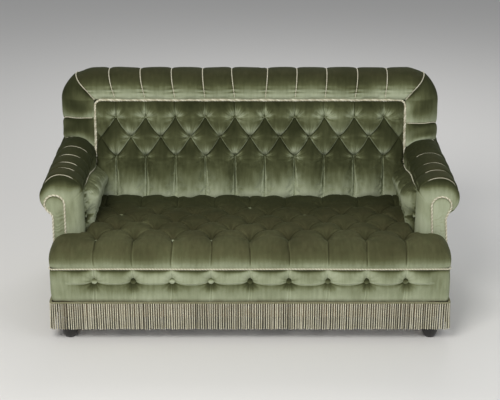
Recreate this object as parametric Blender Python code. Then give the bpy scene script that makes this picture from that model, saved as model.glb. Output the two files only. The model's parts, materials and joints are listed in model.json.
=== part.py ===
"""A deep-buttoned scroll-arm sofa in metres, +Z up, with its front facing -Y.

Places are given from the middle of the sofa (x), back from the plane of the front
piping (y) and up from the floor (z). An empty carries every piece, so that the
origin is the bottom centre of the whole. Left is the side at -X.
"""

from math import cos, pi, radians, sin, sqrt

import bmesh
import bpy
from mathutils import Vector

# Fits
GAP = 0.0003
CREASE = 0.0032
WELD = 0.000001
BEND_STEPS = 4
SHARP_ANGLE = 50

# The room on the seat: half its width, and its depth to the foot of the back
ARM_INNER = 0.700
BACK_FOOT_PLACE = 0.627

# Base
FLOOR_TO_RAIL = 0.090
RAIL_HEIGHT = 0.110
RAIL_TOP = FLOOR_TO_RAIL + RAIL_HEIGHT
SPRING_RISE = 0.130
SEAT_BASE = RAIL_TOP + SPRING_RISE
ARM_WIDTH = 0.128
OUTER_HALF = ARM_INNER + ARM_WIDTH
BACK_DEPTH = 0.248
BACK_FACE = BACK_FOOT_PLACE + BACK_DEPTH
COVER_THICK = 0.010
BACK_SKIN = BACK_FACE - COVER_THICK
FRAME_HALF = OUTER_HALF - COVER_THICK
BORDER_THICK = 0.041
FRONT_FRAME_INSET = 0.034
FRONT_FRAME_HALF = OUTER_HALF - FRONT_FRAME_INSET
RAIL_DEPTH = 0.050
BACK_RAIL_DEPTH = 0.065
BACK_RAIL_FRONT = BACK_SKIN - BACK_RAIL_DEPTH
BRACE_WIDTH = 0.060

# Feet
FOOT_RADIUS = 0.032
FOOT_NECK_RADIUS = 0.022
FOOT_TREAD_RADIUS = 0.021
FOOT_SIDE_INSET = 0.066
FOOT_FRONT_PLACE = 0.052
FOOT_BACK_INSET = 0.049
FOOT_SIDE_PLACE = OUTER_HALF - FOOT_SIDE_INSET
FOOT_BACK_PLACE = BACK_FACE - FOOT_BACK_INSET
FOOT_SIDES = 16
FOOT_SHARES = ((0.0, 0.0), (0.16, 0.75), (0.42, 1.0), (0.66, 0.80), (0.80, 0.0), (1.0, 0.0))

# Arms: the wood inside them and the keyhole of their facings
FACING_FRONT = 0.160
FACING_THICK = 0.015
STUMP_FRONT = FACING_FRONT + FACING_THICK
STUMP_DEPTH = 0.040
ARM_PAD_THICK = 0.035
ARM_CORE = ARM_INNER + ARM_PAD_THICK
ARM_RISE = 0.270
ARM_RAIL_TOP = SEAT_BASE + ARM_RISE
ARM_RAIL_HEIGHT = 0.060
STUMP_DROP = 0.080
STUMP_TOP = ARM_RAIL_TOP - STUMP_DROP
FACING_RADIUS = 0.045
FACING_INSET = 0.011
FACING_CENTRE = OUTER_HALF - FACING_INSET
FACING_DROP = 0.044
FACING_HEIGHT = ARM_RAIL_TOP - FACING_DROP
FACING_CAP_LIP = 0.003
FACING_NECK_ANGLE = -50
FACING_STEPS = 14

# Arms: the roll over the rail and the pad inside
ARM_ROLL_RISE = 0.075
ARM_TOP = ARM_RAIL_TOP + ARM_ROLL_RISE
ARM_OVERHANG = 0.055
ARM_OUTER = OUTER_HALF + ARM_OVERHANG
ARM_AXIS = (ARM_INNER + ARM_OUTER) / 2
ARM_HALF = (ARM_OUTER - ARM_INNER) / 2
ARM_TUCK = 0.018
ARM_AXIS_DROP = 0.010
ARM_AXIS_HEIGHT = ARM_RAIL_TOP - ARM_AXIS_DROP
ARM_UNDER_RISE = 0.068
ARM_FLUTES = 5
ARM_CAP_RUN = 0.015
ARM_FIRST_SEAM = STUMP_FRONT + ARM_CAP_RUN
ARM_LAST_RUN = 0.028
ARM_LAST_SEAM = BACK_FOOT_PLACE + ARM_LAST_RUN
ARM_FLUTE = 0.004
ARM_ANGLES = (150, 128, 106, 84, 62, 40, 18, -4, -26, -48)
CAP_SHARES = ((0, 0, 0), (0.18, 0.5, 0), (0.5, 1, 0), (1, 1, 1))
WRAP_ANGLES = (66, 44, 22)
ARM_LEAST_SHARE = 0.25
ARM_PITCH = 0.125
ARM_FIRST_RUN = 0.045
ARM_FIRST_BUTTON = FACING_FRONT + ARM_FIRST_RUN
ARM_BUTTONS = int((BACK_FOOT_PLACE - ARM_FIRST_BUTTON) / ARM_PITCH)
ARM_BUTTON_DROP = 0.122
ARM_BUTTON_HEIGHT = ARM_RAIL_TOP - ARM_BUTTON_DROP
ARM_PUFF = 0.034
ARM_PUFF_SHARES = (0, 0, 0.75, 1, 0.75, 0, 0)
ARM_DIP = 0.010
ARM_SEAM_STRIP = 0.008
ARM_CORD_RADIUS = 0.004

# Seat
SEAT_RISE = 0.075
SEAT_PLEAT = SEAT_BASE + SEAT_RISE
SEAT_PUFF = 0.028
SEAT_DIP = 0.013
SEAT_SHOULDER_GAP = 0.010
SEAT_SHOULDER = FACING_FRONT - SEAT_SHOULDER_GAP
SHOULDER_STEP = 0.002
SEAT_LEDGE = 0.023
SEAT_FIRST_ROW = SEAT_SHOULDER - SEAT_LEDGE
SEAT_CREST_RUN = 0.057
SEAT_CREST_PLACE = SEAT_FIRST_ROW - SEAT_CREST_RUN
SEAT_BACK_GAP = 0.0145
SEAT_BACK_END = BACK_FOOT_PLACE - SEAT_BACK_GAP
SEAT_SIDE_GAP = 0.002
SEAT_INNER_HALF = ARM_INNER - SEAT_SIDE_GAP
SEAT_PITCH = 0.161
SEAT_ROW_PITCH = 0.086
SEAT_REACH = int(SEAT_INNER_HALF / SEAT_PITCH)
SEAT_ROWS = int((SEAT_BACK_END - SEAT_FIRST_ROW) / SEAT_ROW_PITCH)
SEAT_SIDE_SHARES = (0.15, 0.3, 0.45, 0.7, 1.0)
SEAT_END_SHARES = (0.35, 0.75, 1.0)
SEAT_BULGE = 0.007
SEAT_BULGE_RISE = 0.032
SEAT_BROW = 0.012
SEAT_EDGE_DROP = 0.020
CHANNEL_DEPTH = 0.008
CORNER_SPREAD = 0.012
CORNER_CUT = 0.0036
SPRING_CASE_HALF = ARM_CORE - GAP
WEB_THICK = 0.002
WEB_WIDTH = 0.050
WEB_ACROSS = 5
WEB_ALONG = 7
DUST_COVER_THICK = 0.002
DUST_COVER_INSET = 0.004
DUST_COVER_CLEAR = 0.008
DUST_COVER_HALF = FOOT_SIDE_PLACE - FOOT_RADIUS - DUST_COVER_CLEAR

# Piping along the front of the seat
PIPING_RADIUS = 0.005
PIPING_GROOVE = 0.0045
PIPING_STAND = 0.0057
PIPING_CORNER = 0.012

# Front border
BORDER_DEPTH = 0.145
BORDER_SEAM = SEAT_BASE - BORDER_DEPTH
BORDER_BUTTON_DROP = 0.058
BORDER_BUTTON_HEIGHT = SEAT_BASE - BORDER_BUTTON_DROP
BORDER_PUFF = 0.013
BORDER_DIP = 0.008
BORDER_PUFF_SHARES = (0, 0, 0.75, 1.0, 0.8, 0)
BORDER_CORNER_RUN = 0.058
BORDER_HALF = OUTER_HALF - BORDER_CORNER_RUN
BORDER_CORNER = 0.012

# Inside back
BACK_FOOT_HEIGHT = SEAT_PLEAT - SEAT_DIP
BACK_RAKE = 0.2085
BACK_RISE = 0.510
BACK_TOP = SEAT_BASE + BACK_RISE
BACK_PAD_THICK = 0.070
BACK_SIDE_GAP = 0.002
BACK_HALF = ARM_INNER - BACK_SIDE_GAP
BACK_PITCH = 0.1345
BACK_ROW_PITCH = 0.087
BACK_ROWS = 3
BACK_TOP_DROP = 0.079
BACK_FIRST_ROW = BACK_TOP - BACK_TOP_DROP - BACK_ROW_PITCH * (BACK_ROWS - 1)
BACK_PUFF = 0.034
BACK_DIP = 0.010
BACK_FOOT_SHARES = (0, 0.12, 0.5)
BACK_FOOT_PUFF_SHARES = (0, 0, 0.35, 1)
BACK_TOP_PUFF_SHARES = (0.9, 0, 0)
BACK_SEAM_STRIP = 0.014
POST_WIDTH = 0.070
POST_INNER = ARM_INNER - POST_WIDTH
BACK_RAIL_THICK = 0.030
TOP_RAIL_HEIGHT = 0.060
STUFFING_RAIL_HEIGHT = 0.050
STUFFING_RAIL_RISE = 0.090
STUFFING_RAIL_PLACE = SEAT_BASE + STUFFING_RAIL_RISE
BACK_CORD_RADIUS = 0.0065
BACK_CORD_CORNER = 0.020
BACK_CORD_DROP = 0.0022
BACK_CORD_STAND = 0.0079
BACK_CORD_LIFT = 0.022
BACK_CORD_FOOT = ARM_RAIL_TOP + BACK_CORD_LIFT

# Roll round the top of the back
ROLL_DEPTH = 0.180
ROLL_RISE = 0.070
ROLL_AXIS_LIFT = 0.053
ROLL_AXIS_HEIGHT = BACK_TOP + ROLL_AXIS_LIFT
ROLL_BACK_BULGE = 0.005
ROLL_AXIS_PLACE = BACK_FACE + ROLL_BACK_BULGE - ROLL_DEPTH / 2
ROLL_HOOK = 0.040
ROLL_FLUTE = 0.006
ROLL_SEAMS = 2 * int(BACK_HALF / BACK_PITCH)
ROLL_ANGLES = (196, 168, 140, 112, 84, 56, 28, 0)
FLUTE_SHARES = (0.33, 0.67)
ROLL_OUTER_SPREAD = 0.013
MITRE_SPREAD = 0.084
MITRE_RISE = 0.113
EAR_OVERHANG = 0.019
EAR_HALF = OUTER_HALF + EAR_OVERHANG
EAR_SINK = 0.015
EAR_FOOT = ARM_TOP - EAR_SINK
EAR_HOLLOW = 0.026
EAR_SEAM_SHARE = 0.42
EAR_TURN_SHARE = 0.36

# Buttons
BUTTON_RADIUS = 0.0125
BUTTON_RISE = 0.006
RING_POINTS = 8

# Fringe
HEADING_DEPTH = 0.012
HEADING_BOTTOM = BORDER_SEAM - HEADING_DEPTH
FRINGE_DROP = 0.115
FRINGE_BOTTOM = HEADING_BOTTOM - FRINGE_DROP
HEADING_THICK = 0.006
FRINGE_THICK = 0.010
FRINGE_GROOVE = 0.007
FRINGE_PITCH = 0.020

# The middle of the whole from front to back
FRONT_END = min(PIPING_GROOVE - GAP - 2 * PIPING_RADIUS, -BORDER_PUFF)
FRINGE_BACK_END = BACK_FACE + GAP + FRINGE_THICK
BACK_END = max(BACK_FACE + ROLL_BACK_BULGE, FRINGE_BACK_END)
MIDDLE = (FRONT_END + BACK_END) / 2

VELVET = ((0.19, 0.20, 0.11), 0.85, 0.0)
CORD = ((0.74, 0.69, 0.55), 0.80, 0.0)
FRINGE = ((0.55, 0.53, 0.40), 0.85, 0.0)
BLACK_WOOD = ((0.012, 0.011, 0.010), 0.35, 0.0)
BEECH = ((0.55, 0.38, 0.21), 0.60, 0.0)
HESSIAN = ((0.42, 0.32, 0.19), 0.90, 0.0)
BLACK_CLOTH = ((0.02, 0.02, 0.02), 0.90, 0.0)


def clear_scene():
    for obj in list(bpy.data.objects):
        bpy.data.objects.remove(obj)


def make_stand():
    """The empty that sets the origin at the bottom centre."""
    stand = bpy.data.objects.new("sofa", None)
    stand.location = (0, -MIDDLE, 0)
    bpy.context.collection.objects.link(stand)
    return stand


def material(name, paint):
    colour, roughness, metallic = paint
    made = bpy.data.materials.new(name + "_material")
    made.use_nodes = True
    shader = made.node_tree.nodes["Principled BSDF"]
    shader.inputs["Base Color"].default_value = (*colour, 1)
    shader.inputs["Roughness"].default_value = roughness
    shader.inputs["Metallic"].default_value = metallic
    made.diffuse_color = (*colour, 1)
    return made


def add_object(name, data, paint):
    data.materials.append(material(name, paint))
    obj = bpy.data.objects.new(name, data)
    obj.parent = bpy.data.objects["sofa"]
    bpy.context.collection.objects.link(obj)
    return obj


def finish_solid(name, bm, paint, smooth=False):
    bmesh.ops.remove_doubles(bm, verts=bm.verts, dist=WELD)
    bmesh.ops.recalc_face_normals(bm, faces=bm.faces)
    data = bpy.data.meshes.new(name)
    bm.to_mesh(data)
    bm.free()
    if smooth:
        data.shade_smooth()
        data.set_sharp_from_angle(angle=radians(SHARP_ANGLE))
    return add_object(name, data, paint)


def box(name, low, high, paint):
    bm = bmesh.new()
    bmesh.ops.create_cube(bm, size=1)
    for vert in bm.verts:
        vert.co = [b if side > 0 else a for a, b, side in zip(low, high, vert.co)]
    return finish_solid(name, bm, paint)


def sided_box(side, name, near, far, paint):
    """A box given for the +X side, set on either side."""
    xs = sorted((side * near[0], side * far[0]))
    low, high = (xs[0], near[1], near[2]), (xs[1], far[1], far[2])
    return box(side_name(side, name), low, high, paint)


def side_name(side, name):
    return ("left_" if side < 0 else "right_") + name


def sweep(name, rings, paint, smooth=False, hub=None):
    """A closed solid through rings of equally many points, its last end flat or drawn to a hub."""
    bm = bmesh.new()
    loops = [[bm.verts.new(point) for point in ring] for ring in rings]
    for first, second in zip(loops, loops[1:]):
        for i in range(len(first)):
            j = (i + 1) % len(first)
            bm.faces.new((first[i], first[j], second[j], second[i]))
    bm.faces.new(loops[0])
    if hub is None:
        bm.faces.new(loops[-1])
        return finish_solid(name, bm, paint, smooth)
    centre = bm.verts.new(hub)
    for i, vert in enumerate(loops[-1]):
        bm.faces.new((vert, loops[-1][(i + 1) % len(loops[-1])], centre))
    return finish_solid(name, bm, paint, smooth)


def button_ring(bm, rows, place):
    """The round edge of one sewn button, with its domed top."""
    row, column = place
    centre = rows[row][column]
    along = (rows[row][column + 1] - rows[row][column - 1]).normalized()
    up = (rows[row + 1][column] - rows[row - 1][column]).normalized()
    out = along.cross(up).normalized()
    up = out.cross(along)
    ring = []
    for step in range(RING_POINTS):
        angle = 2 * pi * step / RING_POINTS
        offset = along * cos(angle) + up * sin(angle)
        ring.append(bm.verts.new(centre + offset * BUTTON_RADIUS))
    top = bm.verts.new(centre + out * BUTTON_RISE)
    for step in range(RING_POINTS):
        bm.faces.new((ring[step], ring[(step + 1) % RING_POINTS], top))
    return ring


def tufted_surface(bm, rows, buttons):
    """The quads of a stuffed surface, opened round each button."""
    grid = [
        [None if (r, c) in buttons else bm.verts.new(point) for c, point in enumerate(row)]
        for r, row in enumerate(rows)
    ]
    rings = {place: button_ring(bm, rows, place) for place in buttons}
    for r in range(len(rows) - 1):
        for c in range(len(rows[0]) - 1):
            corners = ((r, c), (r, c + 1), (r + 1, c + 1), (r + 1, c))
            sewn = [turn for turn, place in enumerate(corners) if place in rings]
            verts = [grid[place[0]][place[1]] for place in corners]
            if not sewn:
                bm.faces.new(verts)
                continue
            turn = sewn[0]
            ring = rings[corners[turn]]
            edge = [ring[(2 + 2 * turn - k) % RING_POINTS] for k in range(3)]
            after, across, before = (verts[(turn + k) % 4] for k in (1, 2, 3))
            bm.faces.new((before, edge[0], edge[1], across))
            bm.faces.new((edge[1], edge[2], after, across))
    return grid


def pad(name, rows, low_edge, high_edge, paint=VELVET, buttons=()):
    """A stuffed pad whose surface rows close over two lines behind it."""
    bm = bmesh.new()
    grid = tufted_surface(bm, rows, buttons)
    low = [bm.verts.new(point) for point in low_edge]
    high = [bm.verts.new(point) for point in high_edge]
    for c in range(len(low) - 1):
        bm.faces.new((grid[0][c + 1], grid[0][c], low[c], low[c + 1]))
        bm.faces.new((grid[-1][c], grid[-1][c + 1], high[c + 1], high[c]))
        bm.faces.new((low[c + 1], low[c], high[c], high[c + 1]))
    for end in (0, -1):
        bm.faces.new([row[end] for row in grid] + [high[end], low[end]])
    return finish_solid(name, bm, paint, smooth=True)


def cord(name, points, radius, paint=CORD):
    """A sewn cord along its points."""
    curve = bpy.data.curves.new(name, "CURVE")
    curve.dimensions = "3D"
    curve.bevel_depth = radius
    curve.bevel_resolution = 1
    curve.use_fill_caps = True
    line = curve.splines.new("POLY")
    line.points.add(len(points) - 1)
    for slot, point in zip(line.points, points):
        slot.co = (*point, 1)
    line.use_smooth = True
    return add_object(name, curve, paint)


def corner_arc(centre, radius, start, end, steps):
    """Plan points of a round corner, angles in degrees from +X."""
    points = []
    for step in range(steps + 1):
        angle = radians(start + (end - start) * step / steps)
        points.append((centre[0] + radius * cos(angle), centre[1] + radius * sin(angle)))
    return points


def ripple(place, pitch):
    """0 on each pleat and 1 half way between two."""
    return abs(sin(pi * place / pitch))


def tuft(along, pitch, across, row_pitch):
    """The puff of a diamond: 0 on the pleats that join the buttons, 1 in its middle."""
    first = along / pitch + across / row_pitch / 2
    second = along / pitch - across / row_pitch / 2
    return sqrt(abs(sin(pi * first) * sin(pi * second)))


def back_plane(height):
    """Where the raked front of the back lies at a height."""
    return BACK_FOOT_PLACE + BACK_RAKE * (height - BACK_FOOT_HEIGHT)


def make_feet():
    """Four turned bun feet."""
    height = FLOOR_TO_RAIL - GAP
    radii = {0.0: FOOT_TREAD_RADIUS, 1.0: FOOT_NECK_RADIUS}
    for row, place in (("front", FOOT_FRONT_PLACE), ("back", FOOT_BACK_PLACE)):
        for side in (-1, 1):
            rings = []
            for share, swell in FOOT_SHARES:
                plain = FOOT_TREAD_RADIUS + (FOOT_NECK_RADIUS - FOOT_TREAD_RADIUS) * share
                radius = radii.get(share, plain + (FOOT_RADIUS - plain) * swell)
                ring = corner_arc((side * FOOT_SIDE_PLACE, place), radius, 0, 360, FOOT_SIDES)
                rings.append([Vector((x, y, height * share)) for x, y in ring[:-1]])
            sweep(side_name(side, row + "_foot"), rings, BLACK_WOOD, smooth=True)


def make_base():
    """The seat rails, corner blocks, webbing, spring case and bottom cloth."""
    low, high = FLOOR_TO_RAIL + GAP, RAIL_TOP
    front = BORDER_THICK + PIPING_GROOVE
    behind = front + RAIL_DEPTH
    box(
        "front_seat_rail",
        (-FRONT_FRAME_HALF, front, low),
        (FRONT_FRAME_HALF, behind, high),
        BEECH,
    )
    box("back_seat_rail", (-FRAME_HALF, BACK_RAIL_FRONT, low), (FRAME_HALF, BACK_SKIN - GAP, high), BEECH)
    brace_end = BACK_RAIL_FRONT - GAP
    box("centre_seat_brace", (-BRACE_WIDTH / 2, behind + GAP, low), (BRACE_WIDTH / 2, brace_end, high), BEECH)
    for side in (-1, 1):
        near = (ARM_CORE + GAP, STUMP_FRONT + GAP, low)
        sided_box(side, "side_seat_rail", near, (FRAME_HALF, brace_end, high), BEECH)
        near = (SPRING_CASE_HALF + GAP, behind + GAP, low)
        far = (FRONT_FRAME_HALF, STUMP_FRONT, SEAT_BASE - GAP)
        sided_box(side, "front_corner_block", near, far, BEECH)
    make_webbing(front)
    low_case = (-SPRING_CASE_HALF, front, RAIL_TOP + 2 * GAP + WEB_THICK)
    box("spring_case", low_case, (SPRING_CASE_HALF, brace_end, SEAT_BASE - GAP), HESSIAN)
    cloth = FLOOR_TO_RAIL - DUST_COVER_THICK
    low_cloth = (-DUST_COVER_HALF, front + DUST_COVER_INSET, cloth)
    high_cloth = (DUST_COVER_HALF, BACK_SKIN - DUST_COVER_INSET, FLOOR_TO_RAIL)
    box("bottom_cloth", low_cloth, high_cloth, BLACK_CLOTH)


def strap_edges(start, end, count):
    """Both edges of each strap, evenly spread from start to end."""
    pitch = (end - start - WEB_WIDTH) / (count - 1)
    starts = [start + pitch * strap for strap in range(count)]
    return [edge for first in starts for edge in (first, first + WEB_WIDTH)]


def make_webbing(front):
    """Crossed straps as one sheet with square gaps, laid over the rails."""
    low = RAIL_TOP + GAP
    xs = strap_edges(-SPRING_CASE_HALF, SPRING_CASE_HALF, WEB_ALONG)
    ys = strap_edges(front, BACK_RAIL_FRONT - GAP, WEB_ACROSS)
    bm = bmesh.new()
    grid = [[bm.verts.new((x, y, low)) for x in xs] for y in ys]
    for r in range(len(ys) - 1):
        for c in range(len(xs) - 1):
            if r % 2 == 0 or c % 2 == 0:
                bm.faces.new((grid[r][c], grid[r][c + 1], grid[r + 1][c + 1], grid[r + 1][c]))
    raised = bmesh.ops.extrude_face_region(bm, geom=bm.faces[:])
    for item in raised["geom"]:
        if isinstance(item, bmesh.types.BMVert):
            item.co.z += WEB_THICK
    finish_solid("seat_webbing", bm, HESSIAN)


def seat_columns(front):
    """x from the middle outwards and the edge level of each column of the seat."""
    inner = [SEAT_PITCH * k / 4 for k in range(4 * SEAT_REACH + 1)]
    if front:
        side = [SEAT_PITCH * (SEAT_REACH + 1 / 2), OUTER_HALF - SEAT_BROW - CORNER_SPREAD * 2]
        return inner + side, [OUTER_HALF - SEAT_BROW, OUTER_HALF + SEAT_BULGE, OUTER_HALF - PIPING_GROOVE]
    room = SEAT_INNER_HALF - inner[-1]
    side = [inner[-1] + room * share for share in SEAT_SIDE_SHARES]
    return inner + side[:2], side[2:]


def seat_height(x, y):
    """The seat's top, with its puffs between the buttons and its channels beyond them."""
    last = SEAT_FIRST_ROW + SEAT_ROW_PITCH * (SEAT_ROWS - 1)
    if y <= SEAT_FIRST_ROW or y >= last:
        return SEAT_PLEAT + SEAT_PUFF * ripple(x, SEAT_PITCH)
    return SEAT_PLEAT + SEAT_PUFF * tuft(x, SEAT_PITCH, y - SEAT_FIRST_ROW, SEAT_ROW_PITCH)


def seat_point(x, place, level, row_level):
    """A point of the seat: levels 0 to 2 go down the rounded edges, 3 is the top."""
    heights = (SEAT_BASE + GAP, SEAT_BASE + SEAT_BULGE_RISE, SEAT_PLEAT)
    insets = (PIPING_GROOVE, -SEAT_BULGE, SEAT_BROW)
    if row_level < 3 and row_level <= level:
        inset = insets[row_level] + CHANNEL_DEPTH * (1 - ripple(x, SEAT_PITCH)) * (row_level > 0)
        reach = OUTER_HALF - insets[row_level] - CORNER_SPREAD * (level - row_level)
        if level == row_level:
            inset, reach = inset + CORNER_CUT, reach - CORNER_CUT
        return Vector((min(x, reach) if level < 3 else x, inset, heights[row_level]))
    if level < 3 and row_level >= 3:
        return Vector((x, place, heights[level]))
    if level < 3:
        place = insets[level] + CORNER_SPREAD * (row_level - level)
        return Vector((OUTER_HALF - insets[level], place, heights[level]))
    return Vector((x, place, seat_height(x, place)))


def make_seat():
    """The buttoned seat, wider in front of the arms than between them."""
    step = SEAT_ROW_PITCH / 2
    tops = [SEAT_CREST_PLACE, SEAT_FIRST_ROW, SEAT_SHOULDER]
    first, last = SEAT_FIRST_ROW, SEAT_FIRST_ROW + SEAT_ROW_PITCH * (SEAT_ROWS - 1)
    behind = [first + step * k for k in range(1, 2 * SEAT_ROWS - 1)]
    room = SEAT_BACK_END - last
    behind += [last + room * share for share in SEAT_END_SHARES]
    rows = [seat_row(0, 0, True), seat_row(0, 1, True), seat_row(0, 2, True)]
    rows += [seat_row(place, 3, True) for place in tops]
    rows += [seat_row(SEAT_SHOULDER + SHOULDER_STEP, 3, False)]
    rows += [seat_row(place, 3, False) for place in behind]
    for point in rows[-1]:
        point.z -= SEAT_EDGE_DROP
    first_behind = len(rows) - len(behind)
    middle = len(rows[0]) // 2
    buttons = []
    for line in range(SEAT_ROWS):
        row = 4 if line == 0 else first_behind + 2 * line - 1
        offset = 2 if line % 2 else 0
        reach = 4 * SEAT_REACH - offset
        for c in range(-reach, reach + 1):
            if (c - offset) % 4 == 0:
                rows[row][middle + c].z -= SEAT_DIP
                buttons.append((row, middle + c))
    bm = bmesh.new()
    tufted_surface(bm, rows, buttons)
    close_on_base(bm, SEAT_BASE + GAP)
    finish_solid("seat_cushion", bm, VELVET, smooth=True)


def seat_row(place, row_level, front):
    """One row of the seat from side to side."""
    top, edge = seat_columns(front)
    points = [(x, 3) for x in top] + [(x, 2 - k) for k, x in enumerate(edge)]
    half = []
    for x, level in points:
        if front:
            half.append(seat_point(x, place, level, row_level))
        else:
            drop = SEAT_EDGE_DROP * max(0, 2 - level) if level < 3 else 0
            half.append(Vector((x, place, seat_height(x, place) - drop)))
    mirrored = [Vector((-point.x, point.y, point.z)) for point in half[:0:-1]]
    return mirrored + half


def close_on_base(bm, base):
    """Walls from the open edge of a surface down to a flat bottom."""
    edges = [edge for edge in bm.edges if edge.is_boundary]
    feet = {}
    for edge in edges:
        for vert in edge.verts:
            if vert not in feet:
                on_base = abs(vert.co.z - base) < WELD
                feet[vert] = vert if on_base else bm.verts.new((vert.co.x, vert.co.y, base))
    for edge in edges:
        a, b = edge.verts
        loop = [a, b]
        loop += [feet[b]] if feet[b] is not b else []
        loop += [feet[a]] if feet[a] is not a else []
        if len(loop) > 2:
            bm.faces.new(loop)
    bmesh.ops.holes_fill(bm, edges=[edge for edge in bm.edges if edge.is_boundary], sides=0)


def make_border():
    """The buttoned pad below the front of the seat, and its returns round the corners."""
    low, high = FLOOR_TO_RAIL, SEAT_BASE - GAP
    middle = (BORDER_BUTTON_HEIGHT + BORDER_SEAM) / 2
    upper = (BORDER_BUTTON_HEIGHT + high - PIPING_RADIUS) / 2
    heights = (low, BORDER_SEAM, middle, BORDER_BUTTON_HEIGHT, upper, high)
    steps = int(BORDER_HALF / (SEAT_PITCH / 4))
    xs = [SEAT_PITCH * k / 4 for k in range(-steps, steps + 1)]
    xs = [-BORDER_HALF] + xs + [BORDER_HALF]
    rows, buttons = [], []
    for r, (height, share) in enumerate(zip(heights, BORDER_PUFF_SHARES)):
        row = []
        for c, x in enumerate(xs):
            fade = min(1, (BORDER_HALF - abs(x)) / (SEAT_PITCH / 4))
            swell = (BORDER_PUFF + PIPING_GROOVE) * share * ripple(x, SEAT_PITCH) * fade
            sewn = r == 3 and (c - 1 - steps) % 4 == 0 and abs(x) < SEAT_PITCH * (SEAT_REACH + 1 / 2)
            if sewn:
                swell = -BORDER_DIP
                buttons.append((r, c))
            row.append(Vector((x, PIPING_GROOVE - swell, height)))
        rows.append(row)
    back = PIPING_GROOVE + BORDER_THICK - GAP
    low_edge = [(x, back, low) for x in xs]
    high_edge = [(x, back, high) for x in xs]
    pad("front_border", rows, low_edge, high_edge, buttons=buttons)
    for side in (-1, 1):
        make_border_return(side, heights)


def make_border_return(side, heights):
    outer = OUTER_HALF - PIPING_GROOVE
    corner = (outer - BORDER_CORNER, PIPING_GROOVE + BORDER_CORNER)
    plan = [(BORDER_HALF + GAP, PIPING_GROOVE)]
    plan += corner_arc(corner, BORDER_CORNER, -90, 0, 3)
    end = STUMP_FRONT - GAP
    plan += [(outer, (corner[1] + end) / 2), (outer, end)]
    back = PIPING_GROOVE + BORDER_THICK - GAP
    inside = [(x, back) for x, _ in plan[:1]]
    inside += [(min(x, FRONT_FRAME_HALF + GAP), max(y, back)) for x, y in plan[1:]]
    rows = []
    for height, share in zip(heights, BORDER_PUFF_SHARES):
        row = []
        for k, (x, y) in enumerate(plan):
            swell = PIPING_GROOVE * share * (0 < k < len(plan) - 1)
            slope = min(1, max(0, (y - PIPING_GROOVE) / BORDER_CORNER))
            row.append(Vector((side * (x + swell * slope), y - swell * (1 - slope), height)))
        rows.append(row)
    edges = [[(side * x, y, z) for x, y in inside] for z in (heights[0], heights[-1])]
    pad(side_name(side, "border_return"), rows, edges[0], edges[1])


def make_back_frame():
    """Raked posts and the two rails between them, and the posts behind the arms."""
    def rail(name, low, high):
        outline = []
        for z in (low, high):
            front = back_plane(z) + BACK_PAD_THICK + GAP
            outline += [(front, z), (front + BACK_RAIL_THICK, z)]
        outline = [outline[0], outline[1], outline[3], outline[2]]
        half = POST_INNER - GAP
        sweep(name, [[Vector((x, y, z)) for y, z in outline] for x in (-half, half)], BEECH)

    rail("top_back_rail", BACK_TOP - TOP_RAIL_HEIGHT, BACK_TOP)
    rail("back_stuffing_rail", STUFFING_RAIL_PLACE, STUFFING_RAIL_PLACE + STUFFING_RAIL_HEIGHT)
    base, shelf = RAIL_TOP + GAP, SEAT_BASE + GAP
    outline = [(BACK_RAIL_FRONT, base), (BACK_SKIN - GAP, base), (BACK_SKIN - GAP, BACK_TOP)]
    outline += [(back_plane(z) + BACK_PAD_THICK + GAP, z) for z in (BACK_TOP, shelf)]
    outline += [(BACK_RAIL_FRONT, shelf)]
    for side in (-1, 1):
        xs = (side * POST_INNER, side * (ARM_INNER - GAP))
        rings = [[Vector((x, y, z)) for y, z in outline] for x in xs]
        sweep(side_name(side, "back_post"), rings, BEECH)
        near = (ARM_INNER + GAP, BACK_RAIL_FRONT + GAP, base)
        far = (FRAME_HALF, BACK_SKIN - GAP, ARM_RAIL_TOP)
        sided_box(side, "back_arm_post", near, far, BEECH)


def make_inside_back():
    """The raked pad with its three rows of buttons, diamonds between them."""
    first, step = BACK_FIRST_ROW, BACK_ROW_PITCH / 2
    last = first + BACK_ROW_PITCH * (BACK_ROWS - 1)
    strip = BACK_TOP - BACK_SEAM_STRIP
    low = SEAT_BASE + GAP
    rise = first - BACK_FOOT_HEIGHT
    below = [low] + [BACK_FOOT_HEIGHT + rise * share for share in BACK_FOOT_SHARES]
    diamonds = [first + step * k for k in range(2 * BACK_ROWS - 1)]
    above = [(last + strip) / 2, strip, BACK_TOP - GAP]
    heights = below + diamonds + above
    shares = [*BACK_FOOT_PUFF_SHARES, *[1] * len(diamonds), *BACK_TOP_PUFF_SHARES]
    steps = int(BACK_HALF / (BACK_PITCH / 4))
    xs = [BACK_PITCH * k / 4 for k in range(-steps, steps + 1)]
    xs = [-BACK_HALF] + xs + [BACK_HALF]
    shift = BACK_PITCH / 2
    rows, buttons = [], []
    for r, (height, share) in enumerate(zip(heights, shares)):
        line = r - len(below)
        row = []
        for c, x in enumerate(xs):
            if 0 <= line < len(diamonds):
                puff = tuft(x + shift, BACK_PITCH, height - first, BACK_ROW_PITCH)
            else:
                puff = ripple(x + shift, BACK_PITCH)
            fade = min(1, (BACK_HALF - abs(x)) / BACK_PITCH * 2)
            swell = BACK_PUFF * puff * share * fade
            offset = 0 if line % 4 == 2 else 2
            on_line = line in (0, 2, 4) and (c - 1 - steps - offset) % 4 == 0
            if on_line and abs(x) < BACK_HALF - BACK_PITCH / 2:
                swell = -BACK_DIP
                buttons.append((r, c))
            row.append(Vector((x, back_plane(height) - swell, height)))
        rows.append(row)
    edges = []
    for z in (heights[0], heights[-1]):
        edges.append([(x, back_plane(z) + BACK_PAD_THICK, z) for x in xs])
    pad("inside_back", rows, edges[0], edges[1], buttons=buttons)


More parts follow.
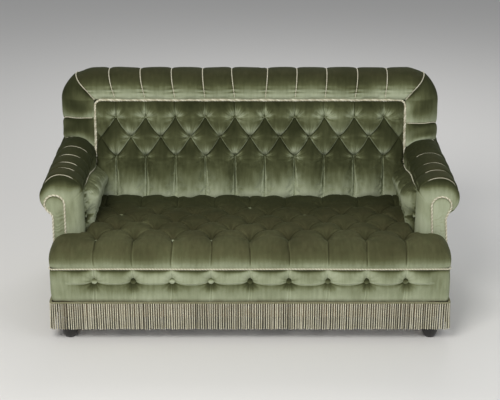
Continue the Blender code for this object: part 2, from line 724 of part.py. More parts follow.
def roll_section(flute):
    """(rise from the seam, place) round the roll, its last three points under and behind it."""
    base = BACK_TOP + GAP
    front = Vector((back_plane(base), base))
    axis = Vector((ROLL_AXIS_PLACE, ROLL_AXIS_HEIGHT))
    half = ROLL_DEPTH / 2
    points = [(0, front.x)]
    for degrees in ROLL_ANGLES:
        angle = radians(degrees)
        place = axis.x + (half + flute) * cos(angle)
        points.append((axis.y + (ROLL_RISE + flute) * sin(angle) - base, min(place, axis.x + half)))
    points.append((-ROLL_HOOK, BACK_FACE))
    points.append((-ROLL_HOOK, BACK_SKIN + GAP))
    points.append((0, BACK_SKIN + GAP))
    return points


def make_top_roll():
    """The fluted roll between the mitres, its flutes spreading towards the top."""
    base = BACK_TOP + GAP
    seam_half = BACK_PITCH * (ROLL_SEAMS - 1) / 2
    end = ARM_INNER - GAP
    seams = [BACK_PITCH * k - seam_half for k in range(ROLL_SEAMS)]
    lines = [-end] + seams + [end]
    rings = []
    for k in range(len(lines) - 1):
        for share, flute in [(0, 0)] + [(share, ROLL_FLUTE) for share in FLUTE_SHARES]:
            rings.append((lines[k] + (lines[k + 1] - lines[k]) * share, flute))
    rings.append((end, 0))
    built = []
    for x, flute in rings:
        ring = []
        for rise, place in roll_section(flute):
            spread = ROLL_OUTER_SPREAD * rise / MITRE_RISE * min(1, abs(x) / seam_half)
            past = max(0, abs(x) - seam_half) / (end - seam_half)
            spread += (MITRE_SPREAD - ROLL_OUTER_SPREAD) * rise / MITRE_RISE * past
            if rise < 0:
                spread = MITRE_SPREAD * rise / MITRE_RISE * past
            ring.append(Vector((x + spread * (1 if x > 0 else -1), place, base + rise)))
        built.append(ring)
    sweep("top_roll", built, VELVET, smooth=True)


def arm_rise(x):
    """The top of the arm's roll over a distance from the middle."""
    half = ARM_HALF - ARM_TUCK if x > ARM_AXIS else ARM_HALF
    reach = min(-cos(radians(ARM_ANGLES[0])), abs(x - ARM_AXIS) / half)
    return ARM_AXIS_HEIGHT + (ARM_TOP - ARM_AXIS_HEIGHT) * sqrt(1 - reach * reach)


def make_ear(side):
    """The end of the roll, turned down beside the back until it meets the arm."""
    base = BACK_TOP + GAP
    foot = EAR_FOOT + GAP
    widen = (EAR_HALF - ARM_INNER) / max(rise for rise, _ in roll_section(0))
    mitre = MITRE_SPREAD / MITRE_RISE
    rings = []
    seam = EAR_SEAM_SHARE
    stops = [(0, 0), (seam / 3, ROLL_FLUTE), (2 * seam / 3, ROLL_FLUTE), (seam, 0)]
    stops += [((seam + 1) / 2, ROLL_FLUTE), (1, 0)]
    for down, flute in stops:
        turn = sin(pi / 2 * min(1, down / EAR_TURN_SHARE))
        ring = []
        for rise, place in roll_section(flute):
            run = mitre + ((widen if rise > 0 else 1) - mitre) * turn
            x = ARM_INNER + GAP + rise * run
            low = foot if rise <= 0 and place > BACK_RAIL_FRONT else arm_rise(x) + CREASE
            height = base + rise + (low - base - rise) * down
            slack = (BACK_SKIN - place) / (BACK_SKIN - back_plane(base))
            lean = BACK_RAKE * max(0, base - height) * min(1, max(0, slack))
            ring.append(Vector((side * x, place - lean, height)))
        rings.append(ring)
    hub = (side * ARM_AXIS, ROLL_AXIS_PLACE, ARM_TOP + EAR_HOLLOW)
    sweep(side_name(side, "ear"), rings, VELVET, smooth=True, hub=hub)


def make_arm_frame(side):
    """The wooden stump and rail inside an arm."""
    near = (ARM_CORE + GAP, STUMP_FRONT + GAP, RAIL_TOP + GAP)
    far = (FRAME_HALF, STUMP_FRONT + STUMP_DEPTH - GAP, STUMP_TOP)
    sided_box(side, "arm_stump", near, far, BEECH)
    near = (ARM_CORE + GAP, STUMP_FRONT + STUMP_DEPTH, ARM_RAIL_TOP - ARM_RAIL_HEIGHT)
    far = (FRAME_HALF, BACK_RAIL_FRONT, ARM_RAIL_TOP)
    sided_box(side, "arm_rail", near, far, BEECH)


def arm_arc(flute, tuck):
    """(x, z) over the roll of an arm, from its inner seam to its underside, tucked in outside."""
    base = ARM_RAIL_TOP + GAP
    points = [(ARM_INNER + GAP, base)]
    for degrees in ARM_ANGLES:
        angle = radians(degrees)
        rise = (ARM_TOP if degrees > 0 else ARM_AXIS_HEIGHT + ARM_UNDER_RISE) - ARM_AXIS_HEIGHT
        half = ARM_HALF - tuck if cos(angle) > 0 else ARM_HALF
        x = min(ARM_AXIS + (half + flute) * cos(angle), ARM_OUTER)
        points.append((x, ARM_AXIS_HEIGHT + (rise + flute) * sin(angle)))
    points.append((OUTER_HALF, panel_top() + GAP))
    return points


def panel_top():
    """Where the outside of an arm tucks under its roll."""
    reach = (OUTER_HALF - ARM_AXIS) / ARM_HALF
    return ARM_AXIS_HEIGHT - ARM_UNDER_RISE * sqrt(1 - reach * reach)


def make_arm_roll(side):
    """The fluted roll over an arm, hooked over its rail."""
    inner = FRAME_HALF + GAP
    hook = [(inner, panel_top() + GAP), (inner, ARM_RAIL_TOP + GAP)]
    pitch = (ARM_LAST_SEAM - ARM_FIRST_SEAM) / ARM_FLUTES
    stops = [(STUMP_FRONT + STUMP_DEPTH, ARM_FLUTE / 2)]
    for k in range(ARM_FLUTES):
        start = ARM_FIRST_SEAM + pitch * k
        for share, flute in [(0, 0)] + [(share, ARM_FLUTE) for share in FLUTE_SHARES]:
            if start + pitch * share > stops[0][0]:
                stops.append((start + pitch * share, flute))
    stops += [(ARM_LAST_SEAM, 0), (BACK_FACE, 0)]
    rings = []
    for place, flute in stops:
        outline = arm_arc(flute, ARM_TUCK) + hook
        rings.append([Vector((side * x, place, z)) for x, z in outline])
    sweep(side_name(side, "arm_roll"), rings, VELVET, smooth=True)


def make_arm_cap(side):
    """The rounded front of the roll, swelling back from the facing."""
    behind = STUMP_FRONT + STUMP_DEPTH - GAP
    seat = STUMP_TOP + GAP
    lowest, shelf = panel_top() + GAP, ARM_RAIL_TOP + GAP
    under = [(FRAME_HALF, lowest), (FRAME_HALF, seat), (ARM_CORE, seat), (ARM_CORE, shelf)]
    outline = arm_arc(ARM_FLUTE / 2, 0) + under
    tucked = arm_arc(ARM_FLUTE / 2, ARM_TUCK) + under
    front = []
    for x, z in outline:
        away = Vector((x - FACING_CENTRE, z - FACING_HEIGHT)).normalized()
        lip = FACING_RADIUS + FACING_CAP_LIP
        near, height = FACING_CENTRE + lip * away.x, FACING_HEIGHT + lip * away.y
        if x <= FRAME_HALF and z <= lowest:
            near, height = min(near, FRAME_HALF), z
        floor = seat if z < lowest else shelf if x <= ARM_CORE else lowest
        front.append((near, max(height, floor)))
    rings = []
    for place_share, swell_share, tuck_share in CAP_SHARES:
        place = STUMP_FRONT + (behind - STUMP_FRONT) * place_share
        ring = []
        for (ax, az), (bx, bz) in zip(front, tucked if tuck_share else outline):
            x, z = ax + (bx - ax) * swell_share, az + (bz - az) * swell_share
            ring.append(Vector((side * x, place, z)))
        rings.append(ring)
    sweep(side_name(side, "arm_cap"), rings, VELVET, smooth=True)


def facing_outline():
    """The keyhole of an arm's facing, up its inner side, round its top and down outside."""
    inner, base = FACING_CENTRE - FACING_RADIUS, SEAT_BASE + GAP
    points = [(inner, base)]
    centre = (FACING_CENTRE, FACING_HEIGHT)
    points += corner_arc(centre, FACING_RADIUS, 180, FACING_NECK_ANGLE, FACING_STEPS)
    points.append((OUTER_HALF, FACING_HEIGHT - FACING_RADIUS))
    points.append((OUTER_HALF, base))
    return points


def make_facing(side):
    """The flat keyhole pad on the front of an arm, and the cord round it."""
    outline = facing_outline()
    faces = (FACING_FRONT, STUMP_FRONT - GAP)
    rings = [[Vector((side * x, y, z)) for x, z in outline] for y in faces]
    sweep(side_name(side, "arm_facing"), rings, VELVET)
    place = FACING_FRONT - GAP - ARM_CORD_RADIUS
    route = [(side * x, place, z) for x, z in outline]
    cord(side_name(side, "facing_cord"), route, ARM_CORD_RADIUS)


def make_inside_arm(side):
    """The pad inside an arm: its front wrap, one row of buttons and pleats to the seat."""
    low, high = SEAT_BASE + GAP, ARM_RAIL_TOP
    inner, strip = ARM_INNER + GAP, ARM_RAIL_TOP - ARM_SEAM_STRIP
    wrap = FACING_CENTRE - FACING_RADIUS - GAP
    turn = ARM_FIRST_BUTTON - FACING_FRONT
    plan = [(wrap, FACING_FRONT)]
    for degrees in WRAP_ANGLES:
        angle = radians(degrees)
        plan.append((wrap - (wrap - inner) * cos(angle), ARM_FIRST_BUTTON - turn * sin(angle)))
    bent = len(plan)
    count = 4 * ARM_BUTTONS + 1
    plan += [(inner, ARM_FIRST_BUTTON + ARM_PITCH * k / 4) for k in range(count)]
    middle = (SEAT_PLEAT + ARM_BUTTON_HEIGHT) / 2
    upper = (ARM_BUTTON_HEIGHT + strip) / 2
    heights = (low, SEAT_PLEAT, middle, ARM_BUTTON_HEIGHT, upper, strip, high)
    last_button = ARM_FIRST_BUTTON + ARM_PITCH * (ARM_BUTTONS - 1)
    rows, edges, buttons = [], [], []
    for r, (height, share) in enumerate(zip(heights, ARM_PUFF_SHARES)):
        end = back_plane(height) - GAP
        row, behind = [], []
        for k, (x, y) in enumerate(plan):
            after = k - bent
            fade = min(1, k / bent, (len(plan) - k) / 3)
            crown = ripple(y - ARM_FIRST_BUTTON, ARM_PITCH) if height <= ARM_BUTTON_HEIGHT else 1
            swell = ARM_PUFF * share * fade * (ARM_LEAST_SHARE + (1 - ARM_LEAST_SHARE) * crown)
            sewn = r == 3 and after % 4 == 0 and 0 < after and y < last_button + ARM_PITCH / 2
            if r == 3 and after == 0:
                sewn = True
            if sewn:
                swell = -ARM_DIP
                buttons.append((r, k))
            row.append(Vector((side * (x - swell), y, height)))
            behind.append((side * max(x, ARM_CORE), max(y, STUMP_FRONT), height))
        row.append(Vector((side * inner, end, height)))
        behind.append((side * ARM_CORE, end, height))
        rows.append(row)
        edges.append(behind)
    if side > 0:
        rows = [row[::-1] for row in rows]
        edges = [edge[::-1] for edge in edges]
        buttons = [(r, len(rows[0]) - 1 - k) for r, k in buttons]
    pad(side_name(side, "inside_arm"), rows, edges[0], edges[-1], buttons=buttons)


def make_outside():
    """The plain covers outside the arms and behind the back."""
    low, top = FLOOR_TO_RAIL, panel_top()
    for side in (-1, 1):
        near = (FRAME_HALF + GAP, STUMP_FRONT, low)
        far = (OUTER_HALF, BACK_SKIN - GAP, top)
        sided_box(side, "outside_arm", near, far, VELVET)
    neck, hook = ARM_INNER - GAP, ARM_INNER - ROLL_HOOK
    half = [(OUTER_HALF, low), (OUTER_HALF, top), (FRAME_HALF, top), (FRAME_HALF, ARM_RAIL_TOP)]
    half += [(neck, ARM_RAIL_TOP), (neck, EAR_FOOT), (hook, EAR_FOOT), (hook, BACK_TOP - ROLL_HOOK)]
    outline = half + [(-x, z) for x, z in reversed(half)]
    rings = [[Vector((x, y, z)) for x, z in outline] for y in (BACK_SKIN, BACK_FACE)]
    sweep("outside_back", rings, VELVET)


def make_cords():
    """The thick cord round the inside back, the arms' inner cords and the front piping."""
    side_line = ARM_INNER - BACK_CORD_DROP
    top_line = BACK_TOP - BACK_CORD_DROP
    corner = (side_line - BACK_CORD_CORNER, top_line - BACK_CORD_CORNER)
    bend = corner_arc(corner, BACK_CORD_CORNER, 0, 90, BEND_STEPS)
    half = [(side_line, BACK_CORD_FOOT)] + bend
    route = [(x, z) for x, z in half] + [(-x, z) for x, z in reversed(half)]
    stand = BACK_CORD_STAND
    points = [(x, back_plane(z) - stand, z) for x, z in route]
    cord("back_cord", points, BACK_CORD_RADIUS)
    for side in (-1, 1):
        x = side * (ARM_INNER - ARM_CORD_RADIUS)
        front = FACING_FRONT + STUMP_DEPTH
        end = back_plane(ARM_RAIL_TOP) - BACK_CORD_STAND - BACK_CORD_RADIUS - ARM_CORD_RADIUS
        route = [(x, front, ARM_RAIL_TOP), (x, (front + end) / 2, ARM_RAIL_TOP), (x, end, ARM_RAIL_TOP)]
        cord(side_name(side, "arm_cord"), route, ARM_CORD_RADIUS)
    make_piping()


def make_piping():
    line = OUTER_HALF - PIPING_GROOVE + PIPING_STAND
    front = PIPING_GROOVE - PIPING_STAND
    centre = (line - PIPING_CORNER, front + PIPING_CORNER)
    bend = corner_arc(centre, PIPING_CORNER, 0, -90, BEND_STEPS)
    half = [(line, SEAT_SHOULDER)] + bend
    route = half + [(-x, y) for x, y in reversed(half)]
    cord("front_piping", [(x, y, SEAT_BASE) for x, y in route], PIPING_RADIUS)


def make_fringe():
    """Bullion fringe on four sides: a heading braid, and ribs for its hanging cords."""
    low, high = HEADING_BOTTOM + GAP, BORDER_SEAM - GAP
    side_face = OUTER_HALF + GAP
    front_face = PIPING_GROOVE - GAP
    back_face = BACK_FACE + GAP
    side_ends = (front_face + GAP, back_face - GAP)
    runs = {
        "front": ((-side_face, front_face), (side_face, front_face), (0, -1)),
        "back": ((side_face, back_face), (-side_face, back_face), (0, 1)),
        "left": ((-side_face, side_ends[1]), (-side_face, side_ends[0]), (-1, 0)),
        "right": ((side_face, side_ends[0]), (side_face, side_ends[1]), (1, 0)),
    }
    for name, (start, end, out) in runs.items():
        start, end, out = Vector(start), Vector(end), Vector(out)
        outline = [start, end, end + out * HEADING_THICK, start + out * HEADING_THICK]
        prism(name + "_fringe_heading", outline, low, high, CORD)
        length = (end - start).length
        count = round(length / FRINGE_PITCH)
        along = (end - start) / count
        ribs = []
        for k in range(count):
            ribs.append(end - along * k + out * (FRINGE_THICK - FRINGE_GROOVE))
            ribs.append(end - along * (k + 1 / 2) + out * FRINGE_THICK)
        ribs.append(start + out * (FRINGE_THICK - FRINGE_GROOVE))
        prism(name + "_fringe", [start, end] + ribs, FRINGE_BOTTOM, HEADING_BOTTOM, FRINGE)


def prism(name, outline, low, high, paint):
    rings = [[Vector((point.x, point.y, z)) for point in outline] for z in (low, high)]
    sweep(name, rings, paint)


def make_sofa():
    clear_scene()
    make_stand()
    make_feet()
    make_base()
    make_seat()
    make_border()
    make_back_frame()
    make_inside_back()
    make_top_roll()
    make_outside()
    make_cords()
    make_fringe()
    for side in (-1, 1):
        make_ear(side)
        make_arm_frame(side)
        make_arm_roll(side)
        make_arm_cap(side)
        make_facing(side)
        make_inside_arm(side)


make_sofa()
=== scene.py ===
import json
from math import cos, pi, radians, sin, sqrt

import bmesh
import bpy
import numpy as np
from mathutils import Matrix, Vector

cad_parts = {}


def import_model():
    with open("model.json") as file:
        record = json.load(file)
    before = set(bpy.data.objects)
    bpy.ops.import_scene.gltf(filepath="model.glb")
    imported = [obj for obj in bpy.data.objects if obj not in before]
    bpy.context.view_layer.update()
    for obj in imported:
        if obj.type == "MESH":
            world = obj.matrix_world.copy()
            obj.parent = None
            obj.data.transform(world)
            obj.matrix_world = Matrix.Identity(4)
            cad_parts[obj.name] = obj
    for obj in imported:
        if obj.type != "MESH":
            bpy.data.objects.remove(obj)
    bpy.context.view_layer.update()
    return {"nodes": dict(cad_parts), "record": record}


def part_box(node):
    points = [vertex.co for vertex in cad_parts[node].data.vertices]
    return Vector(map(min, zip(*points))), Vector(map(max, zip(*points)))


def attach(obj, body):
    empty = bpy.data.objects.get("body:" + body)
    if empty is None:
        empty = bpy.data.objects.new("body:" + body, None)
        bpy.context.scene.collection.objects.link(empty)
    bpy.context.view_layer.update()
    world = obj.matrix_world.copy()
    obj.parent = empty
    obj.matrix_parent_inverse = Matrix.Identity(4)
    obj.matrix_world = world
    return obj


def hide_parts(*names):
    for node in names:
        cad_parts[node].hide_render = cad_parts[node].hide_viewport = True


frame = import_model()

# Places are written as in the model's source: x from the middle, y back from the
# plane of the front piping, z up from the floor. MIDDLE turns y into the frame's.
MIDDLE = 0.43615
TINY = 1e-9


def world(points):
    moved = np.array(points, float)
    moved[..., 1] -= MIDDLE
    return moved


# ---------------------------------------------------------------- small helpers

def clip01(value):
    return np.clip(value, 0, 1)


def ease(value):
    value = clip01(value)
    return value * value * (3 - 2 * value)


def bell(distance, width):
    return np.exp(-(distance / width) ** 2)


def waves(x, y, size, seed, count=7):
    """Smooth irregularity between about -1 and 1, with features of that size."""
    draw = np.random.default_rng(seed)
    total = 0
    for _ in range(count):
        angle, turn = draw.uniform(0, pi), draw.uniform(0, 2 * pi)
        length = size * draw.uniform(0.7, 1.6)
        total = total + np.sin((x * cos(angle) + y * sin(angle)) * 2 * pi / length + turn)
    return total / sqrt(count) / 1.4


def channel(place, pitch):
    """The puff across a row of pleats: 0 on a pleat, 1 half way to the next."""
    s = np.abs(np.sin(pi * place / pitch))
    return 1 - (1 - s ** 0.8) * (1 - 0.35 * s ** 0.6)


def slants(along, pitch, across, row_pitch):
    """The phases of a lattice's two sets of slanting lines, whole on each line."""
    return along / pitch + across / row_pitch / 2, along / pitch - across / row_pitch / 2


def diamond(*lattice):
    """The puff of a buttoned lattice, whose pleats are deepest at the buttons."""
    first, second = (np.abs(np.sin(pi * phase)) for phase in slants(*lattice))
    hollow = (1 - (first * second) ** 0.4) * (1 - 0.35 * np.maximum(first, second) ** 0.6)
    return 1 - hollow


def across_line(phase, pitch):
    """Signed distance from the nearest of the lines where the phase is whole."""
    return (phase - np.round(phase)) * pitch


def lapped(distance, width):
    """A sewn fold seen across: its rolled edge, and the cleft that it hides."""
    edge = np.exp(-((distance - width * 0.9) / width) ** 2)
    cleft = np.exp(-((distance + width * 0.6) / (width * 0.8)) ** 2)
    return edge, cleft


def in_diamond(*lattice):
    """How high a point lies in its diamond, from -1 at the foot to 1 at the top."""
    first, second = slants(*lattice)
    return (first - np.floor(first)) - (second - np.floor(second))


def lattice_folds(along, pitch, across, row_pitch, width):
    """Edges and clefts of the slanting folds of a lattice, each lapped downwards."""
    slope = sqrt(1 / pitch ** 2 + 1 / (2 * row_pitch) ** 2)
    first, second = (across_line(phase, 1 / slope)
                     for phase in slants(along, pitch, across, row_pitch))
    return [np.maximum(a, b) for a, b in zip(lapped(first, width), lapped(-second, width))]


def lattice_spots(pitch, first, row_pitch, rows, shifted, reach):
    """The buttons of a lattice, whose even or odd rows are shifted half a pitch."""
    spots = [(k * pitch + (pitch / 2 if row % 2 == shifted else 0), first + row * row_pitch)
             for row in range(rows) for k in range(-6, 6)]
    return [spot for spot in spots if abs(spot[0]) < reach]


def split_lattice(middle_a, pitch, middle_b, row_pitch, active):
    """Which way each square is halved, so that its fold lies on the pleat."""
    half_a = np.floor(middle_a / (pitch / 2)).astype(int)
    half_b = np.floor(middle_b / row_pitch).astype(int)
    return np.where((half_a[None, :] + half_b[:, None]) % 2 == 0, 1, 2) * active[:, None]


def rounding(share):
    """From 1 down to 0 as an edge turns over."""
    return np.sqrt(clip01(1 - clip01(share) ** 2.2))


def pillow(share, power):
    """The height of a stuffed strip, across it from one edge to the other."""
    return np.sqrt(clip01(1 - np.abs(2 * share - 1) ** power))


def middles(values):
    return (values[:-1] + values[1:]) / 2


def steps_across(half, step, columns):
    """Places from side to side, a step apart from the middle, and the two edges."""
    return np.concatenate([[-half], np.arange(-columns, columns + 1) * step, [half]])


def name_for(side, rest):
    return ("left_" if side < 0 else "right_") + rest


def unit(vectors):
    return vectors / np.maximum(np.linalg.norm(vectors, axis=-1, keepdims=True), TINY)


def grid_normals(points):
    return unit(np.cross(np.gradient(points, axis=1), np.gradient(points, axis=0)))


def away_from(points, centre):
    return points - np.array(centre)


def between(a, b, c, d, t):
    """A smooth curve from b to c that heeds the points before and after."""
    return 0.5 * (2 * b + (c - a) * t + (2 * a - 5 * b + 4 * c - d) * t ** 2
                  + (3 * b - a - 3 * c + d) * t ** 3)


def spline(points, count):
    """Evenly spaced points on a smooth curve through the given ones."""
    points = np.array(points, float)
    padded = np.vstack([2 * points[0] - points[1], points, 2 * points[-1] - points[-2]])
    fine = [between(*padded[k:k + 4], t) for k in range(len(points) - 1)
            for t in np.linspace(0, 1, 40, endpoint=False)]
    return even(np.array(fine + [points[-1]]), count)


def steps_of(points):
    return np.linalg.norm(np.diff(points, axis=0), axis=1)


def run_of(points):
    """How far along a line each of its points lies."""
    return np.concatenate([[0], np.cumsum(steps_of(points))])


def even(points, count):
    run = run_of(points)
    stops = np.linspace(0, run[-1], count)
    return np.stack([np.interp(stops, run, values) for values in points.T], 1)


def arc(centre, radius, start, end, steps):
    """Points on part of a circle, between two angles in degrees."""
    angles = [radians(start + (end - start) * k / steps) for k in range(steps + 1)]
    return [(centre[0] + radius * cos(a), centre[1] + radius * sin(a)) for a in angles]


# ------------------------------------------------------------------- materials

class Finish:
    """A procedural material, built node by node round its shader."""

    def __init__(self, name, roughness):
        self.made = bpy.data.materials.new(name)
        self.made.use_nodes = True
        self.tree = self.made.node_tree
        self.shader = self.tree.nodes["Principled BSDF"]
        self.put(self.shader.inputs["Roughness"], roughness)

    def put(self, socket, value):
        if isinstance(value, bpy.types.NodeSocket):
            self.tree.links.new(value, socket)
        else:
            socket.default_value = value

    def node(self, kind, inputs=(), **settings):
        made = self.tree.nodes.new(kind)
        for name, value in settings.items():
            setattr(made, name, value)
        for name, value in dict(inputs).items():
            self.put(made.inputs[name], value)
        return made

    def attribute(self, name):
        return self.node("ShaderNodeAttribute", attribute_name=name).outputs["Fac"]

    def noise(self, scale, detail, stretch=(1, 1, 1)):
        place = self.node("ShaderNodeTexCoord").outputs["Object"]
        moved = self.node("ShaderNodeMapping", {"Vector": place, "Scale": stretch})
        inputs = {"Vector": moved.outputs["Vector"], "Scale": scale, "Detail": detail}
        return self.node("ShaderNodeTexNoise", inputs).outputs["Fac"]

    def math(self, operation, a, b, c=0.0):
        return self.node("ShaderNodeMath", {0: a, 1: b, 2: c}, operation=operation).outputs[0]

    def ramp(self, fac, *stops):
        made = self.node("ShaderNodeValToRGB", {"Fac": fac})
        band = made.color_ramp
        while len(band.elements) < len(stops):
            band.elements.new(0.5)
        for element, (place, colour) in zip(band.elements, stops):
            element.position = place
            element.color = (*colour, 1)
        return made.outputs["Color"]

    def blend(self, fac, first, second, kind="MIX"):
        first, second = (colour if isinstance(colour, bpy.types.NodeSocket) else (*colour, 1)
                         for colour in (first, second))
        inputs = {0: fac, 6: first, 7: second}
        return self.node("ShaderNodeMix", inputs, data_type="RGBA", blend_type=kind).outputs[2]

    def finish(self, colour, bump, **levels):
        """Sets the colour, the bump's height, strength and distance, and other sockets."""
        inputs = dict(zip(("Height", "Strength", "Distance"), bump))
        normal = self.node("ShaderNodeBump", inputs).outputs["Normal"]
        for name, value in {"Base Color": colour, "Normal": normal, **levels}.items():
            self.put(self.shader.inputs[name.replace("_", " ")], value)
        return self.made


BLACK, WHITE = (0, 0, 0), (1, 1, 1)

# The velvet's colour, from painted light to painted shade: lit and shaded copies of the one sage
# green, picked by the pile's tone and shade attribute.
LIT_TO_SHADED_VELVET = (
    (0.00, (0.400, 0.435, 0.300)),
    (0.20, (0.275, 0.302, 0.192)),
    (0.38, (0.160, 0.176, 0.096)),
    (0.56, (0.086, 0.093, 0.043)),
    (0.76, (0.047, 0.051, 0.022)),
    (1.00, (0.025, 0.028, 0.011)),
)


def make_velvet():
    """Velvet: one attribute gives the pile's own tone together with painted light and shade, and
    worn says how bare it is.
    """
    paint = Finish("sage_velvet", 0.88)
    patches, pile = paint.noise(6, 4), paint.noise(650, 2)
    brushed = paint.noise(9, 5, (9, 3.0, 1.5))
    pile_tone_and_shade = paint.attribute("pile_tone_and_shade")
    for pattern, share in ((patches, 0.34), (brushed, 0.26), (pile, 0.20)):
        pile_tone_and_shade = paint.math("MULTIPLY_ADD", paint.math("SUBTRACT", pattern, 0.5), share, pile_tone_and_shade)
    rubbed = paint.math("MULTIPLY", paint.attribute("worn"), paint.noise(22, 4))
    colour = paint.blend(rubbed, paint.ramp(pile_tone_and_shade, *LIT_TO_SHADED_VELVET), (0.120, 0.098, 0.050))
    relief = paint.math("MULTIPLY_ADD", pile, 0.55, paint.math("MULTIPLY", brushed, 1.2))
    return paint.finish(colour, (relief, 0.35, 0.0012), Specular_IOR_Level=0.07,
                        Roughness=paint.math("MULTIPLY_ADD", patches, 0.16, 0.78),
                        Sheen_Weight=0.06, Sheen_Roughness=0.35, Sheen_Tint=(0.66, 0.76, 0.46, 1))


def make_yarn(name, light, dark, dirt):
    """Twisted yarn, its strands toned by the tone attribute and grimed in patches."""
    paint = Finish(name, 0.75)
    colour = paint.ramp(paint.attribute("tone"), (0.0, light), (1.0, dark))
    grime = paint.ramp(paint.noise(34, 4), (0.35, BLACK), (0.75, WHITE))
    colour = paint.blend(paint.math("MULTIPLY", grime, 0.55), colour, dirt)
    fibre = paint.noise(900, 3)
    shade = paint.ramp(fibre, (0.25, (0.72, 0.70, 0.66)), (0.7, WHITE))
    return paint.finish(paint.blend(1.0, colour, shade, "MULTIPLY"), (fibre, 0.5, 0.0006),
                        Specular_IOR_Level=0.30, Sheen_Weight=0.20, Sheen_Roughness=0.40)


def make_wood(name, light, dark, roughness, grain_scale):
    paint = Finish(name, roughness)
    grain = paint.noise(grain_scale, 6, (1, 14, 14))
    scuffs = paint.math("MULTIPLY_ADD", paint.noise(60, 5), 0.35, roughness - 0.15)
    return paint.finish(paint.ramp(grain, (0.3, dark), (0.7, light)), (grain, 0.25, 0.0008),
                        Roughness=scuffs)


def make_lacquer():
    """Black polish, rubbed to the brown wood in small scuffs."""
    paint = Finish("black_polish", 0.3)
    scuffs = paint.ramp(paint.noise(55, 6), (0.62, BLACK), (0.74, WHITE))
    colour = paint.blend(paint.math("MULTIPLY", scuffs, 0.5), (0.010, 0.009, 0.008),
                         (0.075, 0.045, 0.025))
    return paint.finish(colour, (paint.noise(220, 3), 0.15, 0.0004), Coat_Weight=0.25,
                        Roughness=paint.math("MULTIPLY_ADD", paint.noise(30, 4), 0.4, 0.15))


def make_weave(name, light, dark, threads):
    paint = Finish(name, 0.9)
    inputs = {"Vector": paint.node("ShaderNodeTexCoord").outputs["Object"], "Scale": threads,
              "Distortion": 1.2, "Detail": 2.0, "Detail Scale": 4.0}
    warp, weft = (paint.node("ShaderNodeTexWave", inputs, bands_direction=way).outputs["Fac"]
                  for way in "XY")
    height = paint.math("MAXIMUM", warp, weft)
    fibre = paint.math("MULTIPLY", height, 0.6)
    shade = paint.math("MULTIPLY_ADD", paint.noise(40, 4), 0.4, fibre)
    return paint.finish(paint.ramp(shade, (0.2, dark), (0.8, light)), (height, 0.6, 0.0008))


velvet = make_velvet()
cream_yarn = make_yarn("cream_yarn", (0.84, 0.82, 0.68), (0.52, 0.49, 0.36), (0.46, 0.42, 0.29))
# The bullion's dark end is near black: painted shade for the rear row of cords.
bullion_yarn = make_yarn("bullion_yarn", (0.84, 0.81, 0.64), (0.020, 0.020, 0.010),
                         (0.38, 0.34, 0.22))
braid_yarn = make_yarn("braid_yarn", (0.34, 0.34, 0.21), (0.26, 0.25, 0.14), (0.17, 0.15, 0.07))
black_polish = make_lacquer()
beech = make_wood("beech_wood", (0.52, 0.35, 0.20), (0.38, 0.24, 0.13), 0.6, 9)
hessian = make_weave("jute_hessian", (0.40, 0.30, 0.17), (0.16, 0.11, 0.06), 320)
black_cloth = make_weave("black_calico", (0.035, 0.034, 0.032), (0.012, 0.012, 0.012), 420)


# --------------------------------------------------------------- mesh building

def placed(name, data):
    made = bpy.data.objects.new(name, data)
    bpy.context.scene.collection.objects.link(made)
    return made


def mesh_object(name, verts, faces, material):
    data = bpy.data.meshes.new(name)
    faces = [list(map(int, face)) for face in faces]
    data.from_pydata(np.asarray(verts, float).tolist(), [], faces)
    data.materials.append(material)
    data.shade_smooth()
    return placed(name, data)


def set_attribute(made, name, values):
    attribute = made.data.attributes.new(name, "FLOAT", "POINT")
    attribute.data.foreach_set("value", np.asarray(values, np.float32))


def paint_tone_and_shade(made, bias=0.0, worn=0.0, gain=1.0):
    """Paints light and shade into the pile's tone: painted shade where a surface faces up, painted
    light where it faces forwards or down, scaled by gain; bias adds each piece's painted shade and
    tone, and worn says how bare it is.
    """
    data = made.data
    count = len(data.vertices)
    normals = np.zeros(count * 3, np.float32)
    data.vertices.foreach_get("normal", normals)
    spread = np.zeros((2, count))
    for row, value in zip(spread, (bias, worn)):
        flat = np.ravel(value)
        row[:flat.size if flat.size > 1 else count] = flat
    # painted shade by facing: the more a surface faces up, the darker it is painted
    pile_tone_and_shade = np.interp(normals[2::3], (-0.6, -0.15, 0.08, 0.34, 0.62, 1.0),
                    (0.0, 0.10, 0.26, 0.56, 0.74, 0.86))
    set_attribute(made, "pile_tone_and_shade", np.clip(0.5 + (pile_tone_and_shade - 0.5) * gain + spread[0], 0.02, 0.98))
    set_attribute(made, "worn", clip01(spread[1]))


def grid_faces(rows, columns, keep=True, split=0):
    """The faces of a grid; split says which squares are halved, and which way."""
    ids = np.arange(rows * columns).reshape(rows, columns)
    a, b, c, d = ids[:-1, :-1], ids[:-1, 1:], ids[1:, 1:], ids[1:, :-1]
    whole, halves = ((a, b, c, d),), (((a, b, c), (a, c, d)), ((a, b, d), (b, c, d)))
    faces = []
    for kind, loops in enumerate((whole, *halves)):
        chosen = np.broadcast_to(keep & (split == kind), a.shape)
        for loop in loops:
            faces += np.stack([corner[chosen] for corner in loop], 1).tolist()
    return faces


def mend(made, angle, merge=0.0):
    """Turns the faces outwards, after joining corners that fall together."""
    bm = bmesh.new()
    bm.from_mesh(made.data)
    if merge:
        bmesh.ops.remove_doubles(bm, verts=bm.verts, dist=merge)
    bmesh.ops.recalc_face_normals(bm, faces=bm.faces)
    bm.to_mesh(made.data)
    bm.free()
    made.data.set_sharp_from_angle(angle=radians(angle))


def sandwich(name, points, inner, rims):
    """A grid and the same grid further in, with walls between them along the rims."""
    count = points.shape[0] * points.shape[1]
    faces = grid_faces(*points.shape[:2])
    faces += [[corner + count for corner in face[::-1]] for face in faces]
    for rim in rims:
        walls = [rim[1:], rim[:-1], rim[:-1] + count, rim[1:] + count]
        faces += np.stack(walls, 1).tolist()
    verts = np.concatenate([points.reshape(-1, 3), inner.reshape(-1, 3)])
    return mesh_object(name, world(verts), faces, velvet)


